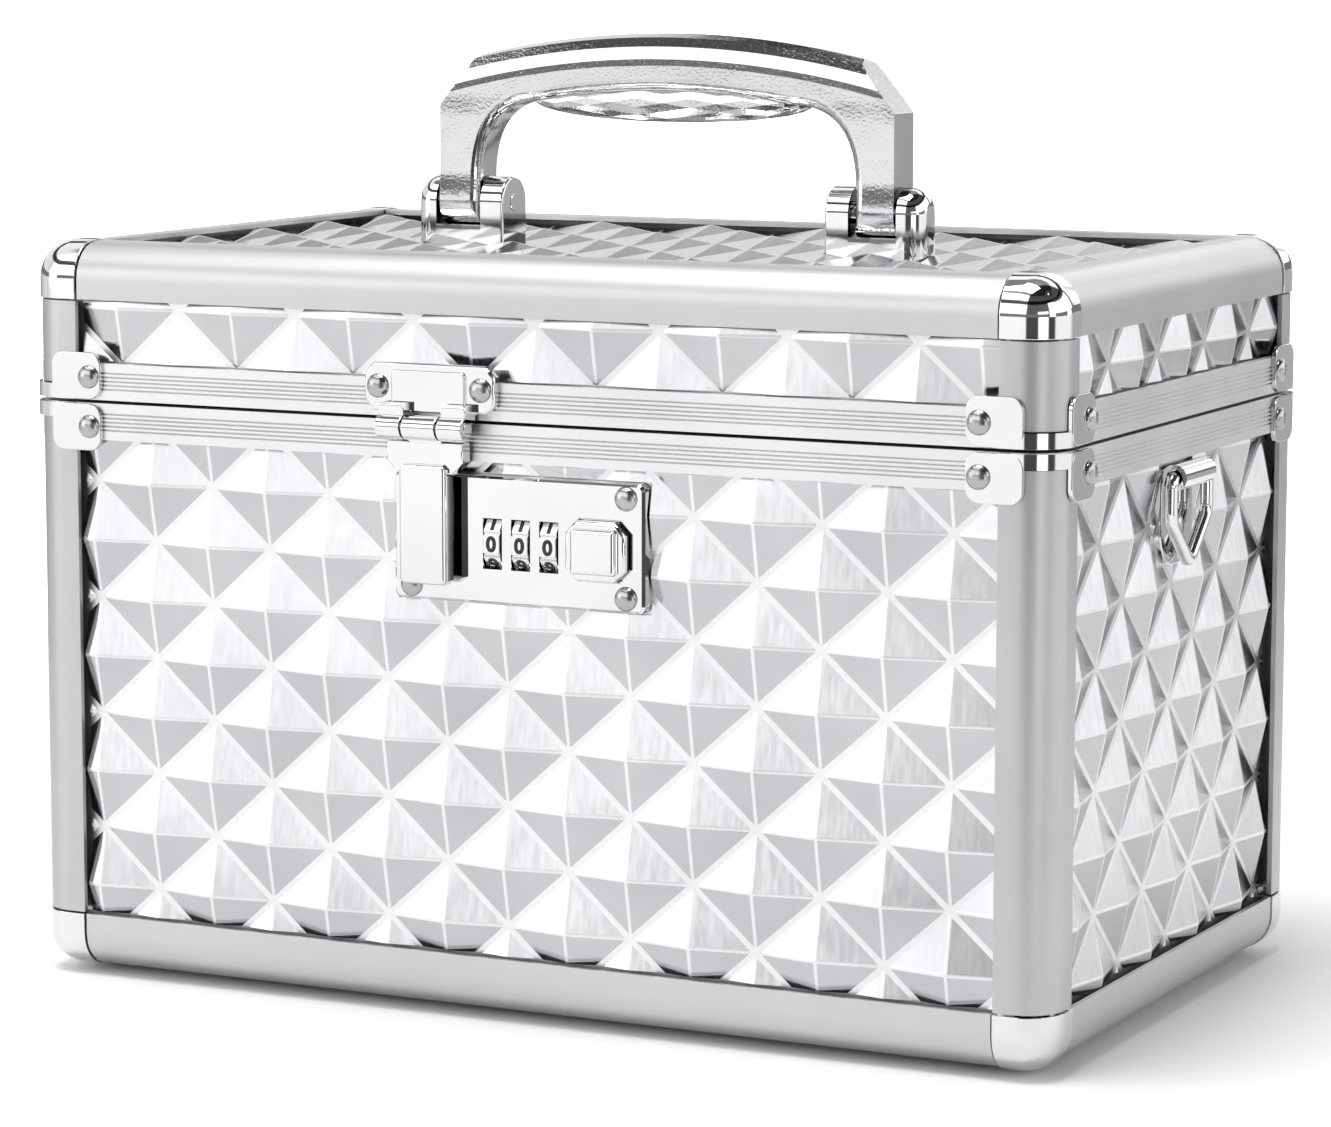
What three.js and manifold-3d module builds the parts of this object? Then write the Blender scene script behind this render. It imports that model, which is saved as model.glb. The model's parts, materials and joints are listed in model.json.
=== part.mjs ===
// A lockable medication box: embossed boards held in aluminium edge profiles, a lid on a piano
// hinge, a hasp over a lock with three number wheels, a folding carry handle and two strap rings.
// Millimetres, +Z up. The front looks along -Y and the box stands on Z = 0.

import * as THREE from 'three';
import { RoundedBoxGeometry } from 'three/addons/geometries/RoundedBoxGeometry.js';
import { mergeVertices } from 'three/addons/utils/BufferGeometryUtils.js';
import Module from 'manifold-3d';

const wasm = await Module();
wasm.setup();

// The box without its feet
const boxWidth = 240;
const boxDepth = 147;
const boxHeight = 160;
const lidHeight = 34.2;
const seamGap = 0.7;

// Clearances: between sliding parts, between riveted faces, and how far a cutter runs past a face
const fitGap = 0.3;
const seatGap = 0.05;
const overrun = 1;

// Edge profiles of rails and posts: an outer angle, a diagonal web and an inner angle, which
// leave a channel for each of the two boards that meet at the edge
const edgeWidth = 12.25;
const edgeRound = 8;
const lipWall = 1.2;
const webWall = 1.2;
const flangeWall = 1.2;

// Boards, with the embossed pyramids on their faces
const boardInset = 3.2;
const boardThickness = 4;
const embossAcross = 28.8;
const embossUp = 25.5;
const embossDepthPitch = 28.4;
const embossHeight = 2.4;
const embossRoot = 1;
const valleyWidth = 1.3;
const frontPeakAcross = 10.8;
const frontPeakUp = 18.9;
const lidFrontPeakAcross = 17.3;
const lidFrontPeakRise = 20.2;
const sidePeakAcross = 1.2;
const sidePeakUp = 27.4;
const lidSidePeakAcross = 5.5;
const lidSidePeakRise = 14.6;

// Rims on both sides of the seam
const rimHeight = 8.3;
const rimWall = 1.9;
const rimFlange = 1.5;
const rimInnerRound = 0.6;
const grooveCount = 5;
const groovePitch = 0.88;
const grooveWidth = 0.44;
const grooveDepth = 0.35;
const groovesFromPanel = 2.1;
const postEndFromSeam = 3.8;

// Corner caps
const capWall = 2.2;
const capProud = 0.35;
const capDimpleRadius = 1.1;
const capDimpleDepth = 0.5;

// Corner brackets of the rims
const bracketWall = 0.95;
const bracketRunIn = 1.5;
const bracketWidth = 12.4;
const bracketHeight = 10.2;
const bracketRound = 3;
const bracketFromSeam = 0.5;
const strapHeight = 3.15;
const strapRun = 4;
const bracketRivetInset = 2.9;
const bracketRivetUp = 5.4;

// Rivet heads
const rivetRadius = 2.6;
const rivetHeight = 1.4;
const rivetRoot = 0.7;

// Hasp: plate with two knuckles on the lid, tongue with a raised cover
const haspPlateWidth = 31;
const haspPlateHeight = 10.2;
const haspPlateWall = 1.9;
const haspPlateChamfer = 2.2;
const haspEdgeBevel = 0.7;
const haspPadWidth = 17.6;
const haspPadProud = 0.6;
const haspRivetInset = 3.3;
const haspRivetRise = 5.2;
const haspAxisDrop = 1.3;
const haspAxisOut = 4.6;
const haspBarrelRadius = 2.6;
const haspBarrelLength = 20.6;
const haspKnuckleWidth = 8;
const haspKnuckleGap = 0.35;
const haspPinRadius = 1.1;
const haspLipPastAxis = 0.6;
const tongueWideWidth = 18;
const tongueAboveLock = 0.2;
const tongueShoulderHeight = 2;
const tongueBackOut = 0.7;
const tongueWideWall = 3.3;
const coverWidth = 11.2;
const coverAboveLockLow = 3.9;
const coverGap = 0.45;
const coverWall = 3.5;
const coverBevel = 0.9;
const catchWidth = 5;
const catchRise = 3.3;
const catchHeight = 4;
const catchPastSheet = 0.75;
const catchDip = 0.6;

// Lock: a pressed front plate on the board, with a case behind it
const lockAcross = 0.6;
const lockHeight = 26.9;
const lockFromRim = 2.8;
const lockFromHasp = 9.6;
const lockPastButton = 3.35;
const lockRound = 1.6;
const lockBevel = 0.6;
const lockSheet = 1;
const lockProud = 0.05;
const lockFrameWall = 2.4;
const lockRivetInsetAcross = 4.2;
const lockRivetInsetUp = 3.1;
const caseWall = 1.2;
const caseBackGap = 1.5;
const caseDivider = 0.9;

// Number wheels and their windows
const wheelCount = 3;
const wheelPitch = 6.62;
const wheelDrop = 0.75;
const wheelRadius = 7.6;
const wheelProud = 0.9;
const wheelFaces = 10;
const wheelNotchDepth = 0.45;
const wheelNotchShare = 0.1;
const windowWidth = 4.5;
const windowGap = 0.32;
const windowsFromHasp = 11.63;
const axleRadius = 1.5;

// Release button
const buttonSideGap = 0.48;
const buttonWidth = 14.1;
const buttonHeight = 12.6;
const buttonChamfer = 2.6;
const buttonProud = 3.6;
const buttonBevel = 1.1;
const buttonSkirt = 1;
const buttonSkirtWall = 1.3;
const buttonStem = 4;

// Carry handle and its clevis brackets
const handleSpan = 110.6;
const handleLegWidth = 9.7;
const handleDepth = 11;
const handlePinRise = 6.8;
const handleRise = 37.9;
const handleShoulderRun = 8.9;
const handleShoulderDrop = 5;
const handleShoulderDepth = 11.4;
const handleArchFoot = 5.2;
const handleArchRun = 15.6;
const handleGripHeight = 12.5;
const handleArchSag = 2.4;
const handleBevel = 1.7;
const bellyFromLeg = 11.6;
const bellyDrop = 10.7;
const bellyHeight = 8.7;
const bellyHalfDepth = 4.9;
const bellySteps = 10;
const bellySides = 12;
const handlePinRadius = 2.4;
const clevisCheek = 5.6;
const clevisSideGap = 0.75;
const clevisProud = 0.3;
const clevisDome = 2.6;
const slotFloorGap = 0.5;

// Strap rings
const ringFromRim = 0.5;
const ringBarrelSink = 0.25;
const ringBarrelRadius = 2.8;
const ringBarrelLength = 18;
const ringWireRadius = 1.5;
const ringShoulderDrop = 9.2;
const ringTipDrop = 9.5;
const ringCornerRound = 2.2;
const ringPlateWidth = 19;
const ringPlateHeight = 21.4;
const ringPlateRise = 2.2;
const ringPlateWall = 1.6;
const ringPlateRound = 7;
const ringRivetRise = 8;

// Piano hinge
const hingeFromSide = 25;
const hingeKnuckles = 11;
const hingeBarrelRadius = 2.3;
const hingePinRadius = 1;
const hingeLeafWall = 1;
const hingeLeafReach = 7;

// Ribbed feet
const footHeight = 1.5;
const footLength = 23;
const footDepth = 14;
const footFromSideRail = 0.75;
const footFromFrontRail = 1.25;
const footRibs = 8;
const footGrooveDepth = 1;
const footRibShare = 0.55;

// Facet counts
const cornerSteps = 2;
const capSteps = 3;
const capHollowSteps = 1;
const railSteps = 6;
const rimSteps = 2;
const roundSides = 12;
const wireSides = 6;
const domeSides = 8;
const domeSteps = 2;
const bevelSteps = 2;
const clevisDomeSteps = 3;
const quarter = Math.PI / 2;

// Levels and insets that several pieces share
const flangeInset = boardInset + boardThickness + fitGap;
const webStep = webWall / Math.SQRT2;
const boardEdge = flangeInset + webStep + fitGap;
const fieldEdge = edgeWidth + fitGap;
const halfWidth = boxWidth / 2;
const halfDepth = boxDepth / 2;
const seamLevel = boxHeight - lidHeight;
const bodyTop = seamLevel - seamGap / 2;
const lidLow = seamLevel + seamGap / 2;
const boardFace = -boardInset;
const plateBack = boardFace + seatGap;
const frontReach = haspAxisOut + haspBarrelRadius;
const hingeAxisOut = hingeBarrelRadius + fitGap;
const hingeLength = boxWidth - 2 * hingeFromSide;
const rearReach = hingeAxisOut + hingeBarrelRadius;
const bracketNear = edgeRound - bracketRunIn;
const bracketFar = bracketNear + bracketWidth;
const strapEnd = edgeRound + strapRun;

// The lock's plate is as wide as what it holds: the hasp's catch, the windows and the button
const windowsHalf = ((wheelCount - 1) * wheelPitch + windowWidth) / 2;
const windowsToButton = caseDivider + buttonSideGap + buttonSkirt;
const lockWidth = lockFromHasp + windowsFromHasp + 2 * windowsHalf + windowsToButton
  + buttonWidth + lockPastButton;
const haspAcross = lockAcross - lockWidth / 2 + lockFromHasp;
const wheelMiddleAcross = haspAcross + windowsFromHasp + windowsHalf;
const buttonAcross = wheelMiddleAcross + windowsHalf + windowsToButton + buttonWidth / 2;
const lockHigh = seamLevel - rimHeight - lockFromRim;
const lockLow = lockHigh - lockHeight;
const lockMiddle = (lockLow + lockHigh) / 2;
const lockBackOfSheet = lockProud - lockSheet;
const wheelLevel = lockMiddle - wheelDrop;
const axleOut = lockProud + wheelProud - wheelRadius;
const windowHeight = 2 * (Math.sqrt(wheelRadius ** 2 - (lockBackOfSheet - axleOut) ** 2) + windowGap);

// Hasp levels, down from its pin beside the seam to the lock
const haspAxisLevel = seamLevel - haspAxisDrop;
const haspPlateLow = haspAxisLevel + haspBarrelRadius + fitGap;
const haspPlateHigh = haspPlateLow + haspPlateHeight;
const haspLipLow = haspAxisLevel + haspPinRadius;
const haspLipOut = haspAxisOut + haspLipPastAxis;
const tongueWideHigh = haspAxisLevel - haspBarrelRadius - fitGap;
const tongueShoulderLow = lockHigh + tongueAboveLock;
const tongueWideLow = tongueShoulderLow + tongueShoulderHeight;
const tongueWideOut = tongueBackOut + tongueWideWall;
const coverLow = lockLow + coverAboveLockLow;
const coverBackOut = lockProud + rivetHeight + coverGap;
const coverFrontOut = coverBackOut + coverWall;
const catchLow = coverLow + catchRise;
const catchHigh = catchLow + catchHeight;
const catchBackOut = lockBackOfSheet - catchPastSheet;

// Handle levels, up from its pins over the lid, and its clevis brackets
const handleLegCentre = (handleSpan - handleLegWidth) / 2;
const handleLegInner = handleSpan / 2 - handleLegWidth;
const handlePinLevel = boxHeight + handlePinRise;
const handleTop = handlePinLevel + handleRise;
const handleShoulderTop = handleTop - handleShoulderDrop;
const handleShoulderLow = handleShoulderTop - handleShoulderDepth;
const handleShoulderHalf = handleSpan / 2 - handleShoulderRun;
const handleArchLow = handlePinLevel + handleArchFoot;
const handleArchTop = handleTop - handleGripHeight;
const handleArchHigh = handleArchTop - handleArchSag;
const handleArchHalf = handleLegInner - handleArchRun;
const bellyHigh = handleTop - bellyDrop;
const bellyLow = bellyHigh - bellyHeight;
const bellyHalf = handleLegInner - bellyFromLeg;
const clevisSlot = handleLegWidth + 2 * clevisSideGap;
const clevisWidth = clevisSlot + 2 * clevisCheek;
const clevisDepth = handleDepth + 2 * clevisProud;

// Strap ring levels, down from the rim, and how far its tube stands out
const ringPlateFront = plateBack + ringPlateWall;
const ringBarrelOut = ringPlateFront + ringBarrelRadius - ringBarrelSink;
const ringBarrelLevel = seamLevel - rimHeight - ringFromRim - ringBarrelRadius;
const ringPlateHigh = ringBarrelLevel + ringPlateRise;
const ringPlateLow = ringPlateHigh - ringPlateHeight;
const ringRivetLevel = ringPlateLow + ringRivetRise;
const ringShoulderLevel = ringBarrelLevel - ringShoulderDrop;
const ringTipLevel = ringShoulderLevel - ringTipDrop;

const materials = {
  profile: metal('#c9cacc', 0.38),
  board: metal('#e3e4e6', 0.25),
  chrome: metal('#d9dadd', 0.08),
  nickel: metal('#9b9895', 0.3),
  base: new THREE.MeshStandardMaterial({ color: '#2b2b2d', roughness: 0.7, metalness: 0 }),
};

function metal(color, roughness) {
  return new THREE.MeshStandardMaterial({ color, roughness, metalness: 1 });
}

// Solids: from a closed geometry, back to one, joined and cut

function solidOf(geometry) {
  const bare = geometry.clone();
  bare.deleteAttribute('normal');
  bare.deleteAttribute('uv');
  const merged = mergeVertices(bare);
  const corners = merged.index.array;
  const faces = [];
  for (let i = 0; i < corners.length; i += 3) {
    const [a, b, c] = corners.slice(i, i + 3);
    if (a !== b && b !== c && c !== a) faces.push(a, b, c);
  }
  return new wasm.Manifold(new wasm.Mesh({
    numProp: 3,
    vertProperties: Float32Array.from(merged.attributes.position.array),
    triVerts: Uint32Array.from(faces),
  }));
}

function geometryOf(solid) {
  const mesh = solid.getMesh();
  const geometry = new THREE.BufferGeometry();
  geometry.setAttribute('position', new THREE.BufferAttribute(mesh.vertProperties, mesh.numProp));
  geometry.setIndex(new THREE.BufferAttribute(mesh.triVerts, 1));
  return geometry;
}

const join = (...solids) => solids.reduce((sum, next) => sum.add(next));
const cut = (body, ...tools) => tools.reduce((rest, tool) => rest.subtract(tool), body);

// A box between two bounds on each axis
function block([left, right], [low, high], [back, front]) {
  const geometry = new THREE.BoxGeometry(right - left, high - low, front - back);
  geometry.translate((left + right) / 2, (low + high) / 2, (back + front) / 2);
  return solidOf(geometry);
}

// A rod or tube filling along X
function rod([left, right], level, out, radius, sides = roundSides) {
  const geometry = new THREE.CylinderGeometry(radius, radius, right - left, sides);
  geometry.rotateZ(quarter);
  geometry.translate((left + right) / 2, level, out);
  return solidOf(geometry);
}

// A flat shape given thickness along Z, with its edges bevelled on request
function extrude(shape, [back, front], bevel = 0, steps = 1) {
  const geometry = new THREE.ExtrudeGeometry(shape, {
    depth: front - back - 2 * bevel,
    bevelEnabled: bevel > 0,
    bevelThickness: bevel,
    bevelSize: bevel,
    bevelOffset: -bevel,
    bevelSegments: steps,
    curveSegments: cornerSteps,
  });
  geometry.translate(0, 0, back + bevel);
  return solidOf(geometry);
}

function roundedRectangle([left, right], [low, high], round) {
  const shape = new THREE.Shape();
  shape.absarc(right - round, low + round, round, -quarter, 0);
  shape.absarc(right - round, high - round, round, 0, quarter);
  shape.absarc(left + round, high - round, round, quarter, 2 * quarter);
  shape.absarc(left + round, low + round, round, 2 * quarter, 3 * quarter);
  return shape;
}

function polygon(points) {
  return new THREE.Shape(points.map(([x, y]) => new THREE.Vector2(x, y)));
}

function chamferedRectangle([left, right], [low, high], chamfer) {
  return polygon([
    [left + chamfer, low], [right - chamfer, low], [right, low + chamfer], [right, high - chamfer],
    [right - chamfer, high], [left + chamfer, high], [left, high - chamfer], [left, low + chamfer],
  ]);
}

// A span of the given width about a centre
const about = (centre, width) => [centre - width / 2, centre + width / 2];

// Skins a closed band of loops, each with as many points as the others, into one body
function loft(loops) {
  const count = loops[0].length;
  const faces = [];
  loops.forEach((loop, row) => {
    const here = row * count;
    const there = ((row + 1) % loops.length) * count;
    for (let column = 0; column < count; column += 1) {
      const next = (column + 1) % count;
      faces.push(here + column, here + next, there + next);
      faces.push(here + column, there + next, there + column);
    }
  });
  const geometry = new THREE.BufferGeometry().setFromPoints(loops.flat());
  geometry.setIndex(faces);
  return solidOf(geometry);
}

// A domed rivet head that stands out of a face at Z = out
function rivet(across, level, out) {
  const profile = [new THREE.Vector2(0, -rivetRoot), new THREE.Vector2(rivetRadius, -rivetRoot)];
  for (let step = 0; step <= domeSteps; step += 1) {
    const angle = (quarter * step) / domeSteps;
    profile.push(new THREE.Vector2(rivetRadius * Math.cos(angle), rivetHeight * Math.sin(angle)));
  }
  profile[profile.length - 1].x = 0;
  const geometry = new THREE.LatheGeometry(profile, domeSides);
  geometry.rotateX(quarter);
  geometry.translate(across, level, out);
  return solidOf(geometry);
}

// The object and its frames: each face has a frame with X across it, Y up and Z out of it, and
// each upright edge has one with X and Y running inwards from its two faces

const box = new THREE.Group();
box.position.set(0, (frontReach - rearReach) / 2, footHeight);

function faceFrame(turn, distance) {
  const side = new THREE.Group();
  const face = new THREE.Group();
  side.rotation.z = turn;
  face.rotation.x = quarter;
  face.position.y = -distance;
  side.add(face);
  box.add(side);
  return face;
}

const faceFrames = {
  front: faceFrame(0, halfDepth),
  right: faceFrame(quarter, halfWidth),
  back: faceFrame(2 * quarter, halfDepth),
  left: faceFrame(-quarter, halfWidth),
};

const cornerFrames = {
  front_left: cornerFrame(-halfWidth, -halfDepth, 0),
  front_right: cornerFrame(halfWidth, -halfDepth, quarter),
  back_right: cornerFrame(halfWidth, halfDepth, 2 * quarter),
  back_left: cornerFrame(-halfWidth, halfDepth, -quarter),
};

function cornerFrame(x, y, turn) {
  const corner = new THREE.Group();
  corner.position.set(x, y, 0);
  corner.rotation.z = turn;
  box.add(corner);
  return corner;
}

function addPiece(frame, name, solid, material) {
  const mesh = new THREE.Mesh(geometryOf(solid), material);
  mesh.name = name;
  frame.add(mesh);
  return mesh;
}

// Turns a piece of a corner upside down, so that it still runs inwards from both faces
function upend(mesh, level) {
  mesh.rotation.set(2 * quarter, 0, quarter, 'ZYX');
  mesh.position.z = level;
}

// Edge profile: the section runs inwards from the two outer faces and is the same on both sides
// of its diagonal

// Points of an arc about a centre on the section's diagonal
function sectionArc(radius, start, end, steps) {
  const points = [];
  for (let step = 0; step <= steps; step += 1) {
    const angle = start + ((end - start) * step) / steps;
    points.push([edgeRound + radius * Math.cos(angle), edgeRound + radius * Math.sin(angle)]);
  }
  return points;
}

function edgeProfile(length) {
  const innerFlange = flangeInset + flangeWall;
  const innerRound = edgeRound - lipWall;
  const diagonal = 2.5 * quarter;
  const webAngle = Math.asin(webWall / 2 / innerRound);
  return extrude(polygon([
    ...sectionArc(edgeRound, 2 * quarter, 3 * quarter, railSteps),
    [edgeWidth, 0], [edgeWidth, lipWall],
    ...sectionArc(innerRound, 3 * quarter, diagonal + webAngle, rimSteps),
    [flangeInset + webStep, flangeInset], [edgeWidth, flangeInset], [edgeWidth, innerFlange],
    [innerFlange, innerFlange],
    [innerFlange, edgeWidth], [flangeInset, edgeWidth], [flangeInset, flangeInset + webStep],
    ...sectionArc(innerRound, diagonal - webAngle, 2 * quarter, rimSteps),
    [lipWall, edgeWidth], [0, edgeWidth],
  ]), [0, length]);
}

function addRails() {
  const { profile } = materials;
  const lengths = { front: boxWidth, back: boxWidth, left: boxDepth, right: boxDepth };
  for (const [side, length] of Object.entries(lengths)) {
    const railLength = length - 2 * fieldEdge;
    const lower = addPiece(faceFrames[side], `rail_bottom_${side}`, edgeProfile(railLength), profile);
    lower.rotation.y = quarter;
    lower.position.x = -railLength / 2;
    const upper = addPiece(faceFrames[side], `rail_top_${side}`, edgeProfile(railLength), profile);
    upper.rotation.set(0, quarter, 2 * quarter, 'ZYX');
    upper.position.set(railLength / 2, boxHeight, 0);
  }
}

function addPosts() {
  const bodyEnd = seamLevel - postEndFromSeam;
  const lidStart = seamLevel + postEndFromSeam;
  for (const [corner, frame] of Object.entries(cornerFrames)) {
    const body = edgeProfile(bodyEnd - fieldEdge);
    addPiece(frame, `post_base_${corner}`, body, materials.profile).position.z = fieldEdge;
    const lid = edgeProfile(boxHeight - fieldEdge - lidStart);
    addPiece(frame, `post_lid_${corner}`, lid, materials.profile).position.z = lidStart;
  }
}

// Cap: the rounded corner of a block, hollow inside, where the boards' corners meet
function roundedCorner(inset, round, steps) {
  const size = 2 * (edgeWidth + edgeRound - inset);
  const geometry = new RoundedBoxGeometry(size, size, size, steps, round);
  geometry.translate(inset + size / 2, inset + size / 2, inset + size / 2);
  return solidOf(geometry);
}

function addCaps() {
  const keep = [-capProud - overrun, edgeWidth];
  const outer = roundedCorner(-capProud, edgeRound + capProud, capSteps).intersect(block(keep, keep, keep));
  const hollow = roundedCorner(capWall, edgeRound - capWall, capHollowSteps);
  const reach = edgeRound - (edgeRound + capProud) / Math.sqrt(3);
  const dimple = new THREE.SphereGeometry(capDimpleRadius, domeSides, domeSteps * 2);
  dimple.scale(1, 1, capDimpleDepth / capDimpleRadius);
  dimple.rotateX(-Math.acos(1 / Math.sqrt(3)));
  dimple.rotateZ(1.5 * quarter);
  dimple.translate(reach, reach, reach);
  const cap = cut(outer, hollow, solidOf(dimple));
  for (const [corner, frame] of Object.entries(cornerFrames)) {
    addPiece(frame, `cap_bottom_${corner}`, cap, materials.chrome);
    upend(addPiece(frame, `cap_top_${corner}`, cap, materials.chrome), boxHeight);
  }
}

// Rims: a grooved channel bent round the box, cut away at the corners for the posts

function roundedLoop(inset, level) {
  const round = Math.max(edgeRound - inset, rimInnerRound);
  const outline = roundedRectangle(about(0, boxWidth - 2 * inset), about(0, boxDepth - 2 * inset), round);
  return outline.getPoints(rimSteps).map((point) => new THREE.Vector3(point.x, point.y, level));
}

// The rim of the body, with its levels measured down from the seam and the opening below
function rimProfile() {
  const open = -rimHeight;
  const top = -seamGap / 2;
  const profile = [[0, open]];
  for (let groove = 0; groove < grooveCount; groove += 1) {
    const level = open + groovesFromPanel + groove * groovePitch;
    profile.push([0, level - grooveWidth / 2], [grooveDepth, level], [0, level + grooveWidth / 2]);
  }
  const channelTop = top - rimFlange;
  const innerFlange = flangeInset + flangeWall;
  profile.push([0, top], [innerFlange, top], [innerFlange, open], [flangeInset, open]);
  profile.push([flangeInset, channelTop], [rimWall, channelTop], [rimWall, open]);
  return profile;
}

function addRims() {
  const loops = rimProfile().map(([inset, level]) => roundedLoop(inset, level));
  const postRoom = [-rimHeight - overrun, fitGap - postEndFromSeam];
  const notches = [-1, 1].flatMap((x) => [-1, 1].map((y) => {
    const acrossRoom = [x * (halfWidth - fieldEdge), x * (halfWidth + overrun)].sort((a, b) => a - b);
    const depthRoom = [y * (halfDepth - fieldEdge), y * (halfDepth + overrun)].sort((a, b) => a - b);
    return block(acrossRoom, depthRoom, postRoom);
  }));
  const rim = cut(loft(loops), ...notches);
  addPiece(box, 'rim_base', rim, materials.profile).position.z = seamLevel;
  const lid = addPiece(box, 'rim_lid', rim, materials.profile);
  lid.rotation.x = 2 * quarter;
  lid.position.z = seamLevel;
}

// Corner brackets of the rims: a strap round the corner with a riveted plate at each end

function rimBracket() {
  const inner = seatGap;
  const outer = seatGap + bracketWall;
  const strap = new THREE.Shape();
  strap.moveTo(strapEnd, -outer);
  strap.lineTo(strapEnd, -inner);
  strap.absarc(edgeRound, edgeRound, edgeRound + inner, 3 * quarter, 2 * quarter, true);
  strap.lineTo(-inner, strapEnd);
  strap.lineTo(-outer, strapEnd);
  strap.absarc(edgeRound, edgeRound, edgeRound + outer, 2 * quarter, 3 * quarter);
  const low = bracketFromSeam;
  const plateSpan = [low, low + bracketHeight];
  const plate = (from, to) => extrude(
    roundedRectangle([from, to], plateSpan, bracketRound), [inner, outer],
  );
  const head = (across) => rivet(across, bracketRivetUp, outer);
  const rivetIn = bracketFar - bracketRivetInset;
  const front = geometryOf(join(plate(bracketNear, bracketFar), head(rivetIn))).rotateX(quarter);
  const side = geometryOf(join(plate(-bracketFar, -bracketNear), head(-rivetIn)));
  side.rotateX(quarter).rotateZ(-quarter);
  return join(extrude(strap, [low, low + strapHeight]), solidOf(front), solidOf(side));
}

function addRimBrackets() {
  const bracket = rimBracket();
  for (const [corner, frame] of Object.entries(cornerFrames)) {
    const lid = addPiece(frame, `rim_bracket_lid_${corner}`, bracket, materials.chrome);
    lid.position.z = seamLevel;
    upend(addPiece(frame, `rim_bracket_base_${corner}`, bracket, materials.chrome), seamLevel);
  }
}

// Boards: a sheet in the channels, with pyramids pressed on a diamond lattice between the lips

function pyramid(across, up, halfAcross, halfUp) {
  const edgeDistance = (halfAcross * halfUp) / Math.hypot(halfAcross, halfUp);
  const share = 1 - valleyWidth / 2 / edgeDistance;
  const height = embossHeight + embossRoot;
  const spread = (share * height) / embossHeight;
  const geometry = new THREE.ConeGeometry(1, height, 4);
  geometry.rotateX(quarter);
  geometry.scale(halfAcross * spread, halfUp * spread, 1);
  geometry.translate(across, up, height / 2 - embossRoot);
  return solidOf(geometry);
}

// Places of the lattice along one line that come within one pitch of the field
function latticePlaces(origin, pitch, [from, to]) {
  const places = [];
  for (let step = Math.ceil((from - origin) / pitch) - 1; origin + step * pitch < to + pitch; step += 1) {
    places.push(origin + step * pitch);
  }
  return places;
}

function embossedBoard(sheet, field, lattice, pads = []) {
  const { pitchAcross, pitchUp, peakAcross, peakUp } = lattice;
  const room = block(field.across, field.up, [-embossRoot, embossHeight + overrun]);
  let board = block(sheet.across, sheet.up, [-boardThickness, 0]);
  for (const shift of [0, 1 / 2]) {
    for (const across of latticePlaces(peakAcross + shift * pitchAcross, pitchAcross, field.across)) {
      for (const up of latticePlaces(peakUp + shift * pitchUp, pitchUp, field.up)) {
        const peak = pyramid(across, up, pitchAcross / 2, pitchUp / 2).intersect(room);
        if (!peak.isEmpty()) board = board.add(cut(peak, ...pads));
      }
    }
  }
  return board;
}

// A flat pad for a piece that is riveted to the board
const pad = (across, up) => block(
  [across[0] - fitGap, across[1] + fitGap],
  [up[0] - fitGap, up[1] + fitGap],
  [0, embossHeight + 2 * overrun],
);

const bodySheetUp = [boardEdge, bodyTop - rimFlange - fitGap];
const bodyFieldUp = [fieldEdge, seamLevel - rimHeight - fitGap];
const lidSheetUp = [lidLow + rimFlange + fitGap, boxHeight - boardEdge];
const lidFieldUp = [seamLevel + rimHeight + fitGap, boxHeight - fieldEdge];

// Lock case behind the plate, which the front board is cut out for
const wheelsAcross = about(wheelMiddleAcross, 2 * windowsHalf);
const caseAcross = [
  wheelsAcross[0] - 2 * caseWall,
  buttonAcross + buttonWidth / 2 + buttonSkirt + fitGap + caseWall,
];
const caseHalfHeight = Math.max(wheelRadius, buttonHeight / 2 + buttonSkirt) + fitGap + caseWall;
const caseUp = about(wheelLevel, 2 * caseHalfHeight);

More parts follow.
